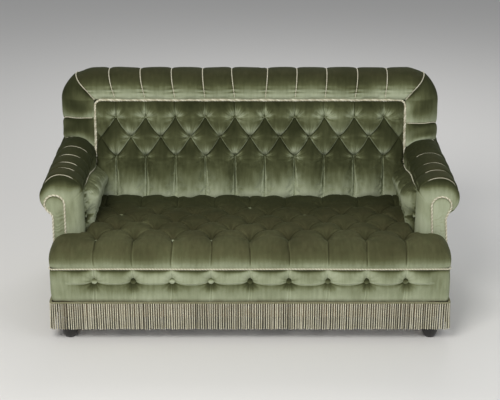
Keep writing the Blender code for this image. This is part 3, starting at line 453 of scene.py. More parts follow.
def skin(name, points, outward, thickness, bias=0.0, worn=0.0):
    """A padded cover bent round a form: its face, the same face set in, and its edges."""
    normal = grid_normals(points)
    if np.sum(normal * outward) < 0:
        normal = -normal
    ids = np.arange(points.shape[0] * points.shape[1]).reshape(points.shape[:2])
    loop = np.concatenate([ids[0], ids[1:, -1], ids[-1, -2::-1], ids[-2::-1, 0]])
    made = sandwich(name, points, points - normal * thickness, [loop])
    mend(made, 70)
    paint_tone_and_shade(made, *(np.tile(np.ravel(value), 2) if np.size(value) > 1 else value
                      for value in (bias, worn)))
    return made


def shell(name, points, behind, keep=True, split=0, bias=0.0, worn=0.0, gain=1.0):
    """A stuffed pad: a surface grid, closed by walls and a flat back behind it."""
    faces = grid_faces(*points.shape[:2], keep, split)
    used = np.zeros(points.shape[0] * points.shape[1], bool)
    used[[corner for face in faces for corner in face]] = True
    made = mesh_object(name, world(points).reshape(-1, 3), faces, velvet)
    bm = bmesh.new()
    bm.from_mesh(made.data)
    loose = [vert for vert in bm.verts if not vert.link_faces]
    bmesh.ops.delete(bm, geom=loose, context="VERTS")
    edges = [edge for edge in bm.edges if edge.is_boundary]
    feet = {}
    for edge in edges:
        for vert in edge.verts:
            if vert not in feet:
                x, y, z = behind(Vector((vert.co.x, vert.co.y + MIDDLE, vert.co.z)))
                feet[vert] = bm.verts.new((x, y - MIDDLE, z))
    for edge in edges:
        a, b = edge.verts
        bm.faces.new((a, b, feet[b], feet[a]))
    bmesh.ops.holes_fill(bm, edges=[edge for edge in bm.edges if edge.is_boundary], sides=0)
    for face in bm.faces:
        face.smooth = len(face.verts) < 5
    bm.to_mesh(made.data)
    bm.free()
    mend(made, 70)
    bias, worn = (np.ravel(value)[used] if np.size(value) > 1 else value for value in (bias, worn))
    paint_tone_and_shade(made, bias, worn, gain)
    return made


def picked(count, held, stride):
    """Every so many of a row of points, with all the held ones and both ends among them."""
    stops = sorted({0, count - 1} | {int(k) for k in held})
    chosen = []
    for a, b in zip(stops, stops[1:]):
        parts = max(1, round((b - a) / stride))
        chosen += [round(a + (b - a) * k / parts) for k in range(parts)]
    return np.array(chosen + [count - 1])


def refined(values, at, count):
    """Smooth values at 0, 1, 2 and so on, from those at some of these places."""
    t = np.interp(np.arange(count), at, np.arange(len(at)))
    k = np.clip(t.astype(int), 0, len(at) - 2)
    before, after = np.maximum(k - 1, 0), np.minimum(k + 2, len(at) - 1)
    return between(values[before], values[k], values[k + 1], values[after], (t - k)[:, None, None])


CLOTH_FRAMES = 14
CLOTH = {"vertex_group_mass": "held", "quality": 6, "mass": 0.2, "air_damping": 3,
         "tension_stiffness": 14, "compression_stiffness": 14, "shear_stiffness": 6,
         "bending_stiffness": 0.5, "use_pressure": True, "uniform_pressure_force": 2.0,
         "shrink_min": -0.03}


def settle(points, held, outward, lines=((), ()), stride=3, cap=0.004):
    """Lets a cover fill out and wrinkle as cloth between the lines that hold it."""
    rows, columns = (picked(points.shape[k], lines[k], stride) for k in (0, 1))
    chosen = np.ix_(rows, columns)
    coarse = points[chosen]
    faces = grid_faces(len(rows), len(columns))
    if np.sum(grid_normals(coarse) * np.broadcast_to(outward, points.shape)[chosen]) < 0:
        faces = [face[::-1] for face in faces]
    made = mesh_object("cloth_trial", coarse.reshape(-1, 3), faces, velvet)
    fixed = np.broadcast_to(held, points.shape[:2])[chosen].copy()
    fixed[[0, -1]] = fixed[:, [0, -1]] = True
    made.vertex_groups.new(name="held").add(np.flatnonzero(fixed).tolist(), 1.0, "REPLACE")
    modifier = made.modifiers.new("cloth", "CLOTH")
    for name, value in CLOTH.items():
        setattr(modifier.settings, name, value)
    modifier.settings.effector_weights.gravity = 0
    modifier.point_cache.frame_start, modifier.point_cache.frame_end = 1, CLOTH_FRAMES
    scene = bpy.context.scene
    for number in range(1, CLOTH_FRAMES + 1):
        scene.frame_set(number)
    final = made.evaluated_get(bpy.context.evaluated_depsgraph_get()).data
    places = np.zeros(len(final.vertices) * 3, np.float32)
    final.vertices.foreach_get("co", places)
    moved = places.reshape(coarse.shape).astype(float) - coarse
    bpy.data.objects.remove(made)
    scene.frame_set(1)
    length = np.linalg.norm(moved, axis=-1, keepdims=True)
    moved *= cap * np.tanh(length / cap) / np.maximum(length, TINY)
    moved = refined(moved, rows, points.shape[0]).transpose(1, 0, 2)
    return points + refined(moved, columns, points.shape[1]).transpose(1, 0, 2)


def mount(made, stands_for=()):
    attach(made, "root")
    if stands_for:
        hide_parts(*stands_for)


class Gather:
    """Many small closed solids in one mesh."""

    def __init__(self):
        self.verts, self.faces, self.tones, self.count = [], [], [], 0

    def add(self, verts, faces, tone=0.0):
        self.verts.append(verts)
        self.faces += [[corner + self.count for corner in face] for face in faces]
        self.tones.append(np.broadcast_to(np.asarray(tone, float), (len(verts),)))
        self.count += len(verts)

    def build(self, name, material, attribute="tone"):
        made = mesh_object(name, np.vstack(self.verts), self.faces, material)
        if attribute == "tone":
            set_attribute(made, "tone", np.concatenate(self.tones))
        else:
            paint_tone_and_shade(made, np.concatenate(self.tones))
        return made


def frames_along(points):
    """Normal and binormal at each point of a line, turned as little as possible."""
    tangents = unit(np.gradient(points, axis=0))
    side = np.cross(tangents[0], (0, 0, 1.0))
    if np.linalg.norm(side) < 0.1:
        side = np.cross(tangents[0], (1.0, 0, 0))
    normals = []
    for tangent in tangents:
        side = unit(side - tangent * (side @ tangent))
        normals.append(side)
    normals = np.array(normals)
    return normals, np.cross(tangents, normals)


def circle(sides):
    return [(cos(2 * pi * k / sides), sin(2 * pi * k / sides)) for k in range(sides)]


def strand_mesh(points, radius, strands, turn, sides):
    """Helical strands laid round a line: verts, faces and the strand of each vert."""
    normals, binormals = frames_along(points)
    thick = radius * {2: 0.60, 3: 0.54}[strands]
    count = len(points)
    step = np.arange(count - 1)
    verts, faces = [], []
    for strand in range(strands):
        angle = (2 * pi * (strand / strands + run_of(points) / turn))[:, None]
        centre = points + (radius - thick) * (np.cos(angle) * normals + np.sin(angle) * binormals)
        verts += [centre + thick * (c * normals + s * binormals) for c, s in circle(sides)]
        starts = (strand * sides + np.arange(sides)) * count
        for low, high in zip(starts, np.roll(starts, -1)):
            walls = [low + step, high + step, high + step + 1, low + step + 1]
            faces += np.stack(walls, 1).tolist()
        faces += [starts[::-1].tolist(), (starts + count - 1).tolist()]
    return np.vstack(verts), faces, np.repeat(np.arange(strands), count * sides)


def cords(name, laid, turn, sides, step, stands_for=(), strands=2, yarn=None):
    """Twisted cords in one piece, laid along paths, each with its radius."""
    gather = Gather()
    for path, radius in laid:
        count = max(6, int(steps_of(path).sum() / step))
        points = world(even(np.array(path, float), count))
        verts, faces, strand = strand_mesh(points, radius, strands, turn, sides)
        gather.add(verts, faces, strand / (strands - 1))
    mount(gather.build(name, yarn or cream_yarn), stands_for)


# ------------------------------------------------------------------------ sizes

OUTER_HALF, BACK_FACE = 0.828, 0.875
SEAT_BASE, SEAT_TOP, SEAT_PUFF, SEAT_BULGE = 0.330, 0.434, 0.022, 0.007
SEAT_PITCH, SEAT_ROW_PITCH, SEAT_FIRST_ROW, SEAT_ROWS = 0.161, 0.086, 0.127, 5
BACK_FOOT_PLACE, BACK_FOOT_HEIGHT, BACK_RAKE, BACK_TOP = 0.627, 0.392, 0.2085, 0.840
BACK_PITCH, BACK_ROW_PITCH, BACK_FIRST_ROW, BACK_ROWS = 0.1345, 0.087, 0.587, 3
FINE = 24   # steps from one line of a lattice to the next
BORDER_LOW, BORDER_TOP, BORDER_FACE, BORDER_BACK = 0.1815, 0.3292, 0.0045, 0.040
BORDER_BUTTON, BORDER_INSET, STUMP_FACE = 0.272, 0.790, 0.1744
BUTTON_RADIUS = 0.0128
BUTTON_PROFILE = ((0.80, -0.0030), (1.00, -0.0006), (1.02, 0.0016), (0.94, 0.0036),
                  (0.74, 0.0053), (0.40, 0.0066))
BUTTON_TOP = 0.0070


def back_plane(height):
    return BACK_FOOT_PLACE + BACK_RAKE * (height - BACK_FOOT_HEIGHT)


def ring_faces(rings, sides):
    """The walls between rings of points, and the foot that closes them."""
    walls = [[base + k, base + (k + 1) % sides, base + sides + (k + 1) % sides, base + sides + k]
             for base in range(0, (rings - 1) * sides, sides) for k in range(sides)]
    return walls + [list(range(sides))[::-1]]


def button_mesh(centre, normal, seed):
    """A covered button: a domed disc with a turned edge, tipped a little by its thread."""
    normal = unit(normal + np.random.default_rng(seed).uniform(-0.12, 0.12, 3))
    side = unit(np.cross(normal, (0.3, 0.2, 1.0)))
    other = np.cross(normal, side)
    sides = 24
    verts = [centre + BUTTON_RADIUS * share * (c * side + s * other) + rise * normal
             for share, rise in BUTTON_PROFILE for c, s in circle(sides)]
    top, last = len(verts), len(verts) - sides
    faces = ring_faces(len(BUTTON_PROFILE), sides)
    faces += [[last + k, last + (k + 1) % sides, top] for k in range(sides)]
    return np.array(verts + [centre + BUTTON_TOP * normal]), faces


def add_buttons(name, places, bias=0.0, rubbed=0.0):
    """Buttons sitting in the dips of a pad, at (place, normal), some of them rubbed pale; bias
    darkens them as painted shade of their dips, and they take painted light and shade by facing.
    """
    gather = Gather()
    for k, (place, normal) in enumerate(places):
        verts, faces = button_mesh(world(place), normal, k + len(name))
        draw = np.random.default_rng(k)
        shade = bias + draw.uniform(-0.12, 0.06) - rubbed * (draw.uniform() < 0.3)
        gather.add(verts, faces, shade)
    mount(gather.build(name, velvet, "pile_tone_and_shade"))


def dips(first, second, spots, depth, reach):
    """How far the buttons draw a surface in, given its two flat coordinates."""
    total = np.zeros(first.shape)
    for a, b in spots:
        away = np.sqrt((first - a) ** 2 + (second - b) ** 2) / reach
        total = np.maximum(total, np.exp(-away ** 1.5))
    return depth * total


def rays(first, second, spots, depth, reach, seed):
    """Fine gathers that run out from each button."""
    draw = np.random.default_rng(seed)
    total = np.zeros(first.shape)
    for a, b in spots:
        angle = np.arctan2(second - b, first - a)
        away = np.sqrt((first - a) ** 2 + (second - b) ** 2) / reach
        folds = np.zeros(first.shape)
        for count in (5, 8, 13):
            folds += np.sin(count * angle + draw.uniform(0, 2 * pi)) / 2
        total += folds * away * np.exp(-away ** 1.2 * 1.6)
    return depth * total


# ------------------------------------------------------------------------- seat

# (outwards, height) from the crest of the front edge down to the piping.
SEAT_EDGE = ((0.0, 0.4340), (0.026, 0.4325), (0.050, 0.4255), (0.069, 0.4130), (0.083, 0.3960),
             (0.0905, 0.3770), (0.0925, 0.3600), (0.0895, 0.3450), (0.0815, 0.3318))
SEAT_CREST, SEAT_END, SHOULDER = 0.085, 0.6125, 0.1515


def seat_sink(y):
    """The seat is plumper in front than at the back, where it was sat flat."""
    return 1 - 0.60 * ease((y - 0.16) / 0.32)


def seat_crown(x, y):
    return 0.006 * ease((y - 0.2) / 0.25) * (1 - (x / 0.7) ** 2)


def make_seat():
    edge = spline(SEAT_EDGE, 31)
    depth = len(edge) - 1
    crest_x = OUTER_HALF + SEAT_BULGE - max(out for out, _ in SEAT_EDGE)
    step = SEAT_PITCH / 2 / FINE
    columns = round(crest_x / step / FINE) * FINE
    falling = np.arange(depth, 0, -1)
    side = np.concatenate([falling, np.zeros(2 * columns + 1), falling[::-1]])
    flat = np.pad(np.arange(-columns, columns + 1) * step, depth, "edge")
    flat = flat * crest_x / (columns * step)
    before = np.linspace(SEAT_CREST, SEAT_FIRST_ROW, 13)[1:]
    rows_on = SEAT_FIRST_ROW + SEAT_ROW_PITCH / FINE * np.arange(1, FINE * (SEAT_ROWS - 1) + 1)
    behind = np.linspace(rows_on[-1], SEAT_END, 35)[1:]
    ys = np.concatenate([np.full(depth + 1, SEAT_CREST), before, rows_on, behind])
    front = np.concatenate([falling, np.zeros(len(ys) - depth)]).astype(int)
    x, y = np.meshgrid(flat, ys)
    p, q = np.meshgrid(side, front)   # steps down from the crest, at the sides and in front
    down = np.maximum(p, q).astype(int)
    out, height = edge[down, 0], edge[down, 1]
    p_share, q_share = p / np.maximum(q, 1), q / np.maximum(p, 1)
    turn = np.where(p >= q, pi / 4 * q / np.maximum(p, 1), pi / 2 - pi / 4 * p / np.maximum(q, 1))
    square = np.where(p >= q, 1, p_share), np.where(p >= q, q_share, 1)
    soft = 0.92 - 0.62 * ease(down / depth)
    to_side = (np.cos(turn) * soft + square[0] * (1 - soft)) * (p > 0)
    to_front = (np.sin(turn) * soft + square[1] * (1 - soft)) * (q > 0)
    px = x + np.sign(x) * out * to_side
    py = y - out * to_front
    pz = height.copy()

    def fade(steps_down, over):
        """1 above the crest, and down its front or side to 0 at the piping."""
        return np.where(steps_down > 0, ease((depth - steps_down) / over), 1)

    last = SEAT_FIRST_ROW + SEAT_ROW_PITCH * (SEAT_ROWS - 1)
    at = (x, SEAT_PITCH, y - SEAT_FIRST_ROW, SEAT_ROW_PITCH)
    lattice = diamond(*at)
    puff = np.where((y < SEAT_FIRST_ROW) | (y > last), channel(x, SEAT_PITCH), lattice)
    outside = ease((np.abs(x) - SEAT_PITCH * 4.35) / 0.03)
    puff = puff + (1 - puff) * outside * (y < 0.2)
    settled = SEAT_PUFF * seat_sink(y) * np.where(y > last, 0.6, 1)
    groove = np.where(q > 0, 0.004 + 0.016 * (1 - q / depth) ** 1.5, settled) * (p == 0)
    groove = groove * fade(q, 5)
    slope = unit(np.gradient(edge, axis=0))
    n_out, n_up = -slope[:, 1][down], slope[:, 0][down]
    spots = lattice_spots(SEAT_PITCH, SEAT_FIRST_ROW, SEAT_ROW_PITCH, SEAT_ROWS, 1, 0.66)
    sunk = dips(x, y, spots, 0.016, 0.022) + rays(x, y, spots, 0.0048, 0.042, 3)
    sunk = sunk * (q == 0)
    turned = np.sign(np.sin(np.round(x / SEAT_PITCH) * 2.1 + 0.4))
    drift = 0.004 * waves(x, pz * 2 + py, 0.4, 8)
    strayed = across_line((x + drift * (q > 0)) / SEAT_PITCH, SEAT_PITCH)
    on_rows = (y >= SEAT_FIRST_ROW) & (y <= last) & (q == 0)
    edge_line, cleft_line = (
        np.where(on_rows, slanting, straight) * (p == 0) * (np.abs(x) < 0.68)
        for slanting, straight in zip(lattice_folds(*at, 0.0032), lapped(turned * strayed, 0.0030)))
    fading = fade(q, 6)
    sunk = sunk - (0.0014 * edge_line - 0.0030 * cleft_line) * fading
    uneven = 0.0030 * waves(x, y, 0.30, 5) + 0.0016 * waves(x, y, 0.075, 6)
    uneven *= fade(q, 10) * fade(p, 10)
    inward = groove * (1 - puff) + sunk - uneven * (0.3 + puff)
    py += inward * n_out * (q > 0)
    pz -= inward * np.where(q > 0, n_up, 1) * (p == 0)
    pz -= seat_crown(x, y) * (q == 0)
    beside = np.abs(x)
    pz -= 0.022 * ease((y - 0.575) / 0.0375) + 0.020 * ease((beside - 0.672) / 0.024) * (y > 0.152)
    pz -= 0.016 * ease((y - 0.128) / 0.022) * ease((beside - 0.700) / 0.03) * (y <= 0.152)
    points = np.stack([px, py, pz], -1)
    straight = np.abs(across_line(x / SEAT_PITCH, SEAT_PITCH)) < 0.0005
    pleats = np.where(on_rows, lattice < 0.03, straight)
    first = depth + len(before)
    lines = (range(first, first + FINE * (SEAT_ROWS - 1) + 1, FINE),
             range(depth, depth + 2 * columns + 1, FINE))
    held = pleats | (q > depth * 0.4) | (p > depth * 0.4)
    points = settle(points, held, (0, -0.4, 1), lines)
    middle_x, middle_y = middles(flat), middles(ys)
    keep = ~((middle_y[:, None] > SHOULDER) & (np.abs(middle_x)[None, :] > 0.6965))
    keep[:, side[:-1] + side[1:] > 0] &= (middle_y < SHOULDER)[:, None]
    split = split_lattice(middle_x, SEAT_PITCH, middle_y - SEAT_FIRST_ROW, SEAT_ROW_PITCH,
                          (middle_y > SEAT_FIRST_ROW) & (middle_y < last))
    crease_shade = (1 - puff) ** 3 * (p == 0)
    edge_highlight = 0.11 + 0.07 * waves(x, y, 0.12, 7) + 0.05 * (q > 0)
    tall = in_diamond(*at) * on_rows
    # Painted shade: the seat painted darker towards its back; down the front edge, painted lighter
    # as it turns to face forwards and down to the piping.
    lie_and_shade = np.interp(y, (0.085, 0.16, 0.30, 0.50), (0.60, 0.68, 0.77, 0.86))
    over_edge = np.interp(pz, (0.332, 0.345, 0.360, 0.380, 0.405, 0.434),
                          (0.22, 0.32, 0.45, 0.56, 0.61, 0.60))
    lie_and_shade = np.where((p > 0) | (q > 0), over_edge, lie_and_shade)
    # Each diamond painted lighter towards its back and darker towards its front, to shade the
    # puffs, with painted shade in the creases.
    lie_and_shade = lie_and_shade - 0.10 * ease((tall - 0.1) / 0.7) + 0.10 * ease((-tall - 0.35) / 0.5) \
        + 0.10 * crease_shade * on_rows
    # Fold edges painted light and their clefts dark; painted shade in the buttons' dips and painted
    # highlights on their gathers; the waves are the pile's own uneven tone.
    lie_and_shade = lie_and_shade - (edge_highlight * edge_line - 0.26 * cleft_line) * fading + 0.07 * waves(x, y + pz, 0.25, 9)
    lie_and_shade = lie_and_shade + 0.22 * dips(x, y, spots, 1.0, 0.014) * (q == 0) \
        - 0.34 * rays(x, y, spots, 1.0, 0.036, 3) * (q == 0)
    # Painted stripes of light and shade for the small gathers above the piping.
    painted_gathers = np.sin(x * 2 * pi / 0.019 + 2.2 * waves(x, pz, 0.10, 4))
    lie_and_shade = lie_and_shade + 0.05 * painted_gathers * ease((0.360 - pz) / 0.024) * (q > 0) * fading - 0.5
    worn = 0.34 * ease((depth - q) / 14) * ease(1 - (y - 0.30) / 0.30)
    made = shell("seat_pad", points, lambda v: (v.x, v.y, SEAT_BASE + 0.0006), keep, split, lie_and_shade,
                 worn, 0.35)
    mount(made, ["seat_cushion"])
    places = []
    for a, b in spots:
        level = SEAT_TOP - float(seat_crown(a, b)) - SEAT_PUFF * float(seat_sink(b))
        places.append(((a, b, level - 0.0125), (0, -0.1, 1)))
    add_buttons("seat_buttons", places, 0.02, 0.55)


# ------------------------------------------------------------------ inside back

def button_highlight(x, z, spots):
    """A painted highlight round each button of the back: a star of light streaks, lightest just
    above the button.
    """
    highlight = np.zeros(x.shape)
    draw = np.random.default_rng(19)
    for a, b in spots:
        over = z - b - 0.009
        away = np.hypot((x - a) * 0.86, over * np.where(over > 0, 0.80, 1.3)) / 0.029
        angle = np.arctan2(z - b + 0.004, x - a)
        streak = 0.55 + 0.45 * np.sin(11 * angle + draw.uniform(0, 6)) \
            * np.sin(19 * angle + draw.uniform(0, 6))
        star = bell(away * draw.uniform(0.82, 1.25), 1) * streak
        highlight = np.maximum(highlight, star * draw.uniform(0.7, 1.15))
    return highlight


def make_inside_back():
    half, low, top = 0.6975, 0.362, BACK_TOP - 0.0012
    first, last = BACK_FIRST_ROW, BACK_FIRST_ROW + BACK_ROW_PITCH * (BACK_ROWS - 1)
    under = 65   # rows of points under the lowest row of buttons
    shift, step = BACK_PITCH / 2, BACK_PITCH / 2 / FINE
    columns = int(half / step)
    xs = steps_across(half, step, columns)
    rows_on = first + BACK_ROW_PITCH / FINE * np.arange(0, FINE * (BACK_ROWS - 1) + 1)
    zs = np.concatenate([np.linspace(low, first, under + 1)[:-1], rows_on,
                         np.linspace(last, top, 28)[1:]])
    x, z = np.meshgrid(xs, zs)
    on_rows = (z >= first) & (z <= last)
    at = (x + shift, BACK_PITCH, z - first, BACK_ROW_PITCH)
    lattice = diamond(*at)
    puff = np.where(on_rows, lattice, channel(x + shift, BACK_PITCH))
    above = rounding((z - 0.785) / (top - 0.785))
    height = np.where(z < first, 0.012 + 0.024 * ease((z - 0.372) / 0.075), 0.034) * above
    rim = rounding((np.abs(x) - 0.625) / (half - 0.625))
    spots = lattice_spots(BACK_PITCH, first, BACK_ROW_PITCH, BACK_ROWS, 0, 0.63)
    wander = 0.0022 * waves(x * 0, z, 0.16, 17) + 0.0020 * waves(x, z * 0, 0.5, 18)
    turned = np.sign(np.sin(np.round((x + shift) / BACK_PITCH) * 2.4 + 0.6))
    off = turned * across_line((x + shift + wander) / BACK_PITCH, BACK_PITCH)
    edge, cleft = (np.where(on_rows, slanting, straight) for slanting, straight
                   in zip(lattice_folds(*at, 0.0021), lapped(off, 0.0021)))
    fork = 0.0085 * ease((first - z) / 0.13) * (0.75 + 0.35 * waves(x, z * 0, 0.4, 22))
    second = bell(off + 0.0030 + fork, 0.0022) * (z < first) * ease((z - 0.395) / 0.04)
    strength = np.where(z > last, 0.35 + 0.65 * ease((0.815 - z) / 0.05), 1.0)
    strength = strength * ease((z - low) / 0.03) * ease((0.640 - np.abs(x)) / 0.01)
    swell = height * rim * puff + 0.003 * rim * above
    swell += (0.0018 * edge - 0.0018 * cleft + 0.0013 * second) * strength
    swell -= dips(x, z, spots, 0.015, 0.018) + rays(x, z, spots, 0.0050, 0.038, 11)
    uneven = 0.0028 * waves(x, z, 0.26, 12) + 0.0014 * waves(x, z * 0.5, 0.07, 13)
    swell += uneven * rim * above * (0.3 + puff)
    to_pleat = np.abs(across_line((x + shift) / BACK_PITCH, BACK_PITCH))
    crease = np.sin(z * 2 * pi / 0.0085 + 2 * waves(x, z, 0.07, 14)) \
        * bell(z - last + 0.004, 0.013) * np.exp(-to_pleat / 0.016)
    long_pleats = (z < first) * ease((first - z) / 0.05) * ease((z - 0.40) / 0.05)
    ripple = np.sin(x * 2 * pi / 0.031 + 2.0 * waves(x, z, 0.3, 15))
    swell += 0.0016 * crease * rim + 0.0012 * ripple * long_pleats * (1 - puff) ** 0.5
    points = np.stack([x, back_plane(z) - swell, z], -1)
    held = np.where(on_rows, lattice < 0.03, to_pleat < 0.0005)
    lines = (range(under, under + FINE * (BACK_ROWS - 1) + 1, FINE),
             range(1 + columns % FINE, 2 * columns + 2, FINE))
    points = settle(points, held, (0, -1, 0.2), lines, cap=0.003)
    middle_z = middles(zs)
    split = split_lattice(middles(xs) + shift, BACK_PITCH, middle_z - first, BACK_ROW_PITCH,
                          (middle_z > first) & (middle_z < last))
    tall = in_diamond(*at)
    # Painted light and shade: each diamond darker towards its top, whose slope faces up, and
    # lighter towards its foot; under the buttons lighter down towards the seat, above them darker
    # up under the roll.
    lie_and_shade = np.interp(tall, (-1, -0.6, 0, 0.5, 1), (0.34, 0.56, 0.74, 0.86, 0.88))
    lie_and_shade = lie_and_shade + (0.60 - lie_and_shade) * ease((z - last + 0.040) / 0.040) * (tall < 0)
    falling = np.interp(z, (0.380, 0.408, 0.438, 0.475, 0.515, 0.555, 0.587),
                        (0.0, 0.04, 0.18, 0.36, 0.54, 0.68, 0.74))
    over = np.interp(z, (last, last + 0.014, 0.800, 0.838), (0.60, 0.50, 0.66, 0.86))
    lie_and_shade = np.where(z < first, falling, np.where(z > last, over, lie_and_shade))
    # Painted highlights round the buttons and painted shade in their dips; painted stripes of light
    # and shade on the ripples; fold edges painted light, their clefts dark; the waves are the
    # pile's own tone.
    lie_and_shade = lie_and_shade - 0.98 * button_highlight(x, z, spots) + 0.55 * dips(x, z, spots, 1.0, 0.009)
    lie_and_shade = lie_and_shade + 0.10 * crease - (0.56 * edge - 0.06 * cleft + 0.34 * second) * strength
    lie_and_shade = lie_and_shade + 0.09 * waves(x, z, 0.22, 16) + 0.04 * waves(x * 3, z, 0.09, 20) - 0.5
    made = shell("inside_back_pad", points, lambda v: (v.x, back_plane(v.z) + 0.055, v.z),
                 split=split, bias=lie_and_shade, gain=0.30)
    mount(made, ["inside_back"])
    places = [((a, back_plane(b) + 0.0115, b), (0, -1, 0.2)) for a, b in spots]
    add_buttons("back_buttons", places, 0.12)


# ----------------------------------------------------------------- front border

def border_tone(x, z):
    """The border's pile tone, with painted shade at its top under the piping, darker at its foot,
    and how worn its hem is.
    """
    hem = ease((0.200 - z) / 0.014)
    pile_tone_and_shade = 0.05 + 0.04 * hem + 0.12 * ease((z - 0.308) / 0.018) + 0.06 * waves(x, z, 0.2, 34)
    return pile_tone_and_shade, 0.75 * hem


def make_border():
    half, low, top, button = 0.7695, BORDER_LOW, BORDER_TOP, BORDER_BUTTON
    step = SEAT_PITCH / 72
    columns = int(half / step)
    xs = steps_across(half, step, columns)
    zs = np.concatenate([np.linspace(low, button - 0.012, 28)[:-1],
                         np.linspace(button - 0.012, button + 0.012, 13),
                         np.linspace(button + 0.012, top, 20)[1:]])
    x, z = np.meshgrid(xs, zs)
    bay = np.abs(np.sin(pi * x / SEAT_PITCH))
    inner = np.abs(x) < 0.7
    puff = channel(x, SEAT_PITCH)
    puff = np.where(inner, puff, 0.85 + 0.15 * puff)
    swag = button - 0.004 - 0.007 * bay ** 0.8 + 0.003 * waves(x, z * 0, 0.4, 31)
    rise = (z - swag) / (top - swag)
    upper = 0.0145 * rounding(rise * 1.02 - 0.02) * (0.25 + 0.75 * clip01(rise / 0.16 + 0.2))
    fall = clip01((swag - z) / (swag - low))
    lower = 0.0050 + 0.0045 * np.sin(pi * clip01(fall * 0.9 + 0.1)) - 0.0030 * fall ** 3
    lower_puff = 0.55 + 0.45 * (1 - (1 - bay ** 0.5) ** 2)
    blend = ease((z - swag) / 0.006 + 0.5)
    edge = ease((half - np.abs(x)) / 0.05)
    plain = 0.0055 * pillow((z - low) / (top - low), 3)
    full = upper * puff * blend + lower * lower_puff * (1 - blend)
    swell = plain + (full - plain) * edge
    spots = [(k * SEAT_PITCH, button) for k in range(-4, 5)]
    off = np.abs(across_line((x + 0.002 * waves(x * 0, z, 0.1, 35)) / SEAT_PITCH, SEAT_PITCH))
    folds = bell(off - 0.0026 - 0.05 * np.abs(z - button), 0.0017) * inner
    flatter = z * 0.8 + button * 0.2
    swell -= dips(x, flatter, spots, 0.015, 0.023) + rays(x, z, spots, 0.0016, 0.034, 32)
    swell += 0.0014 * waves(x, z, 0.11, 33) * edge + 0.0008 * folds
    swell *= ease((top - z) / 0.010) * 0.75 + 0.25
    points = np.stack([x, BORDER_FACE - swell, z], -1)
    # Painted shade: a dark line under the swag and darker dips round the buttons; painted
    # highlights on the folds, the gathers, the pleats and the upper puffs.
    under = bell(z - swag + 0.007, 0.007) * bay * (0.35 + 0.65 * (1 - bay) ** 0.5)
    bias = 0.44 * dips(x, flatter, spots, 1.0, 0.0165) - 0.04 * (1 - puff) ** 3 * inner \
        + 0.12 * under - 0.14 * folds - 0.05 * rays(x, z, spots, 1.0, 0.030, 32) - 0.12 * blend
    pile_tone_and_shade, worn = border_tone(x, z)
    made = shell("front_border_pad", points, lambda v: (v.x, BORDER_BACK, v.z),
                 bias=bias * edge + pile_tone_and_shade, worn=worn)
    mount(made, ["front_border"])
    add_buttons("border_buttons", [((a, 0.0135, b), (0, -1, 0.1)) for a, b in spots], 0.42, 0.55)
    for side in (-1, 1):
        make_border_return(side)


def make_border_return(side):
    """The plain panel that carries the border round the corner to the arm."""
    outer, corner, start = OUTER_HALF - BORDER_FACE, 0.016, 0.7665
    plan = [(start, BORDER_FACE), (start + 0.018, BORDER_FACE),
            *arc((outer - corner, BORDER_FACE + corner), corner, -90, 0, 8),
            (outer, 0.06), (outer, 0.11), (outer, STUMP_FACE)]
    plan = even(np.array(plan), 52)
    slope = unit(np.gradient(plan, axis=0))
    u, z = np.meshgrid(np.linspace(0, 1, len(plan)), np.linspace(BORDER_LOW, BORDER_TOP, 30))
    swell = 0.0055 * pillow((z - BORDER_LOW) / (BORDER_TOP - BORDER_LOW), 3)
    swell *= np.sqrt(clip01((1 - u) / 0.03))
    swell += 0.0010 * waves(u * 0.2, z, 0.08, 41 + side) * ease(u / 0.1)
    swell -= 0.0012 * (plan[:, 0] < start + 0.0025)
    x, y = plan[:, 0] + swell * slope[:, 1], plan[:, 1] - swell * slope[:, 0]
    pile_tone_and_shade, worn = border_tone(side * plan[:, 0], z)

    def behind(v):
        return (side * min(abs(v.x), BORDER_INSET), max(v.y, BORDER_BACK), v.z)

    made = shell(name_for(side, "border_corner"), np.stack([side * x, y, z], -1), behind,
                 bias=pile_tone_and_shade, worn=worn)
    mount(made, [name_for(side, "border_return")])


# ------------------------------------------------------------------------- roll

ROLL_DEPTH, ROLL_RISE, ROLL_AXIS_HEIGHT = 0.174, 0.065, 0.893
ROLL_AXIS_PLACE = BACK_FACE + 0.005 - ROLL_DEPTH / 2
ROLL_BASE, ROLL_HALF = BACK_TOP + 0.0003, 0.6995
MITRE_SPREAD, MITRE_RISE, EAR_HALF = 0.084, 0.113, 0.8475
ROLL_END = ROLL_HALF + MITRE_SPREAD
MITRED = 0.69   # further out than this, the roll turns into a mitre
ROLL_TOP_SPREAD = (-0.030, -0.024, -0.018, -0.012, -0.015, 0.012, 0.010, 0.010, 0.014, 0.012)
CORD_LIFT = 0.0012


def roll_line(count):
    """(rise, place) over the roll from the seam at the front to its foot behind."""
    foot = back_plane(ROLL_BASE)
    points = [(0, foot - 0.001), (0.006, foot - 0.010)]
    for degrees in range(190, -1, -10):
        a = radians(degrees)
        points.append((ROLL_AXIS_HEIGHT + ROLL_RISE * sin(a) - ROLL_BASE,
                       ROLL_AXIS_PLACE + ROLL_DEPTH / 2 * cos(a)))
    points += [(0.02, BACK_FACE + 0.003), (-0.012, BACK_FACE + 0.001), (-0.040, BACK_FACE)]
    return spline(points, count)


def roll_seams():
    """x of each seam cord at the foot of the roll, mitres included, and at its top."""
    feet = [BACK_PITCH * (k - 4.5) for k in range(10)]
    tops = [foot + spread for foot, spread in zip(feet, ROLL_TOP_SPREAD)]
    return [-ROLL_HALF, *feet, ROLL_HALF], [-ROLL_END, *tops, ROLL_END]


def roll_x(foot, top, rise):
    """Where a seam runs: it leans over while it climbs, and stays so behind."""
    share = np.clip(rise / MITRE_RISE, -0.36, 1.08)
    lean = np.where(share > 0, share, share * (abs(foot) > MITRED))
    return foot + (top - foot) * lean


def droop(rise, away):
    """The roll's crest sinks into the mitres at its two ends."""
    return 0.016 * ease(rise / MITRE_RISE) * (1 - ease(away / 0.075))


def flute_height(share):
    return pillow(share, 3.4)


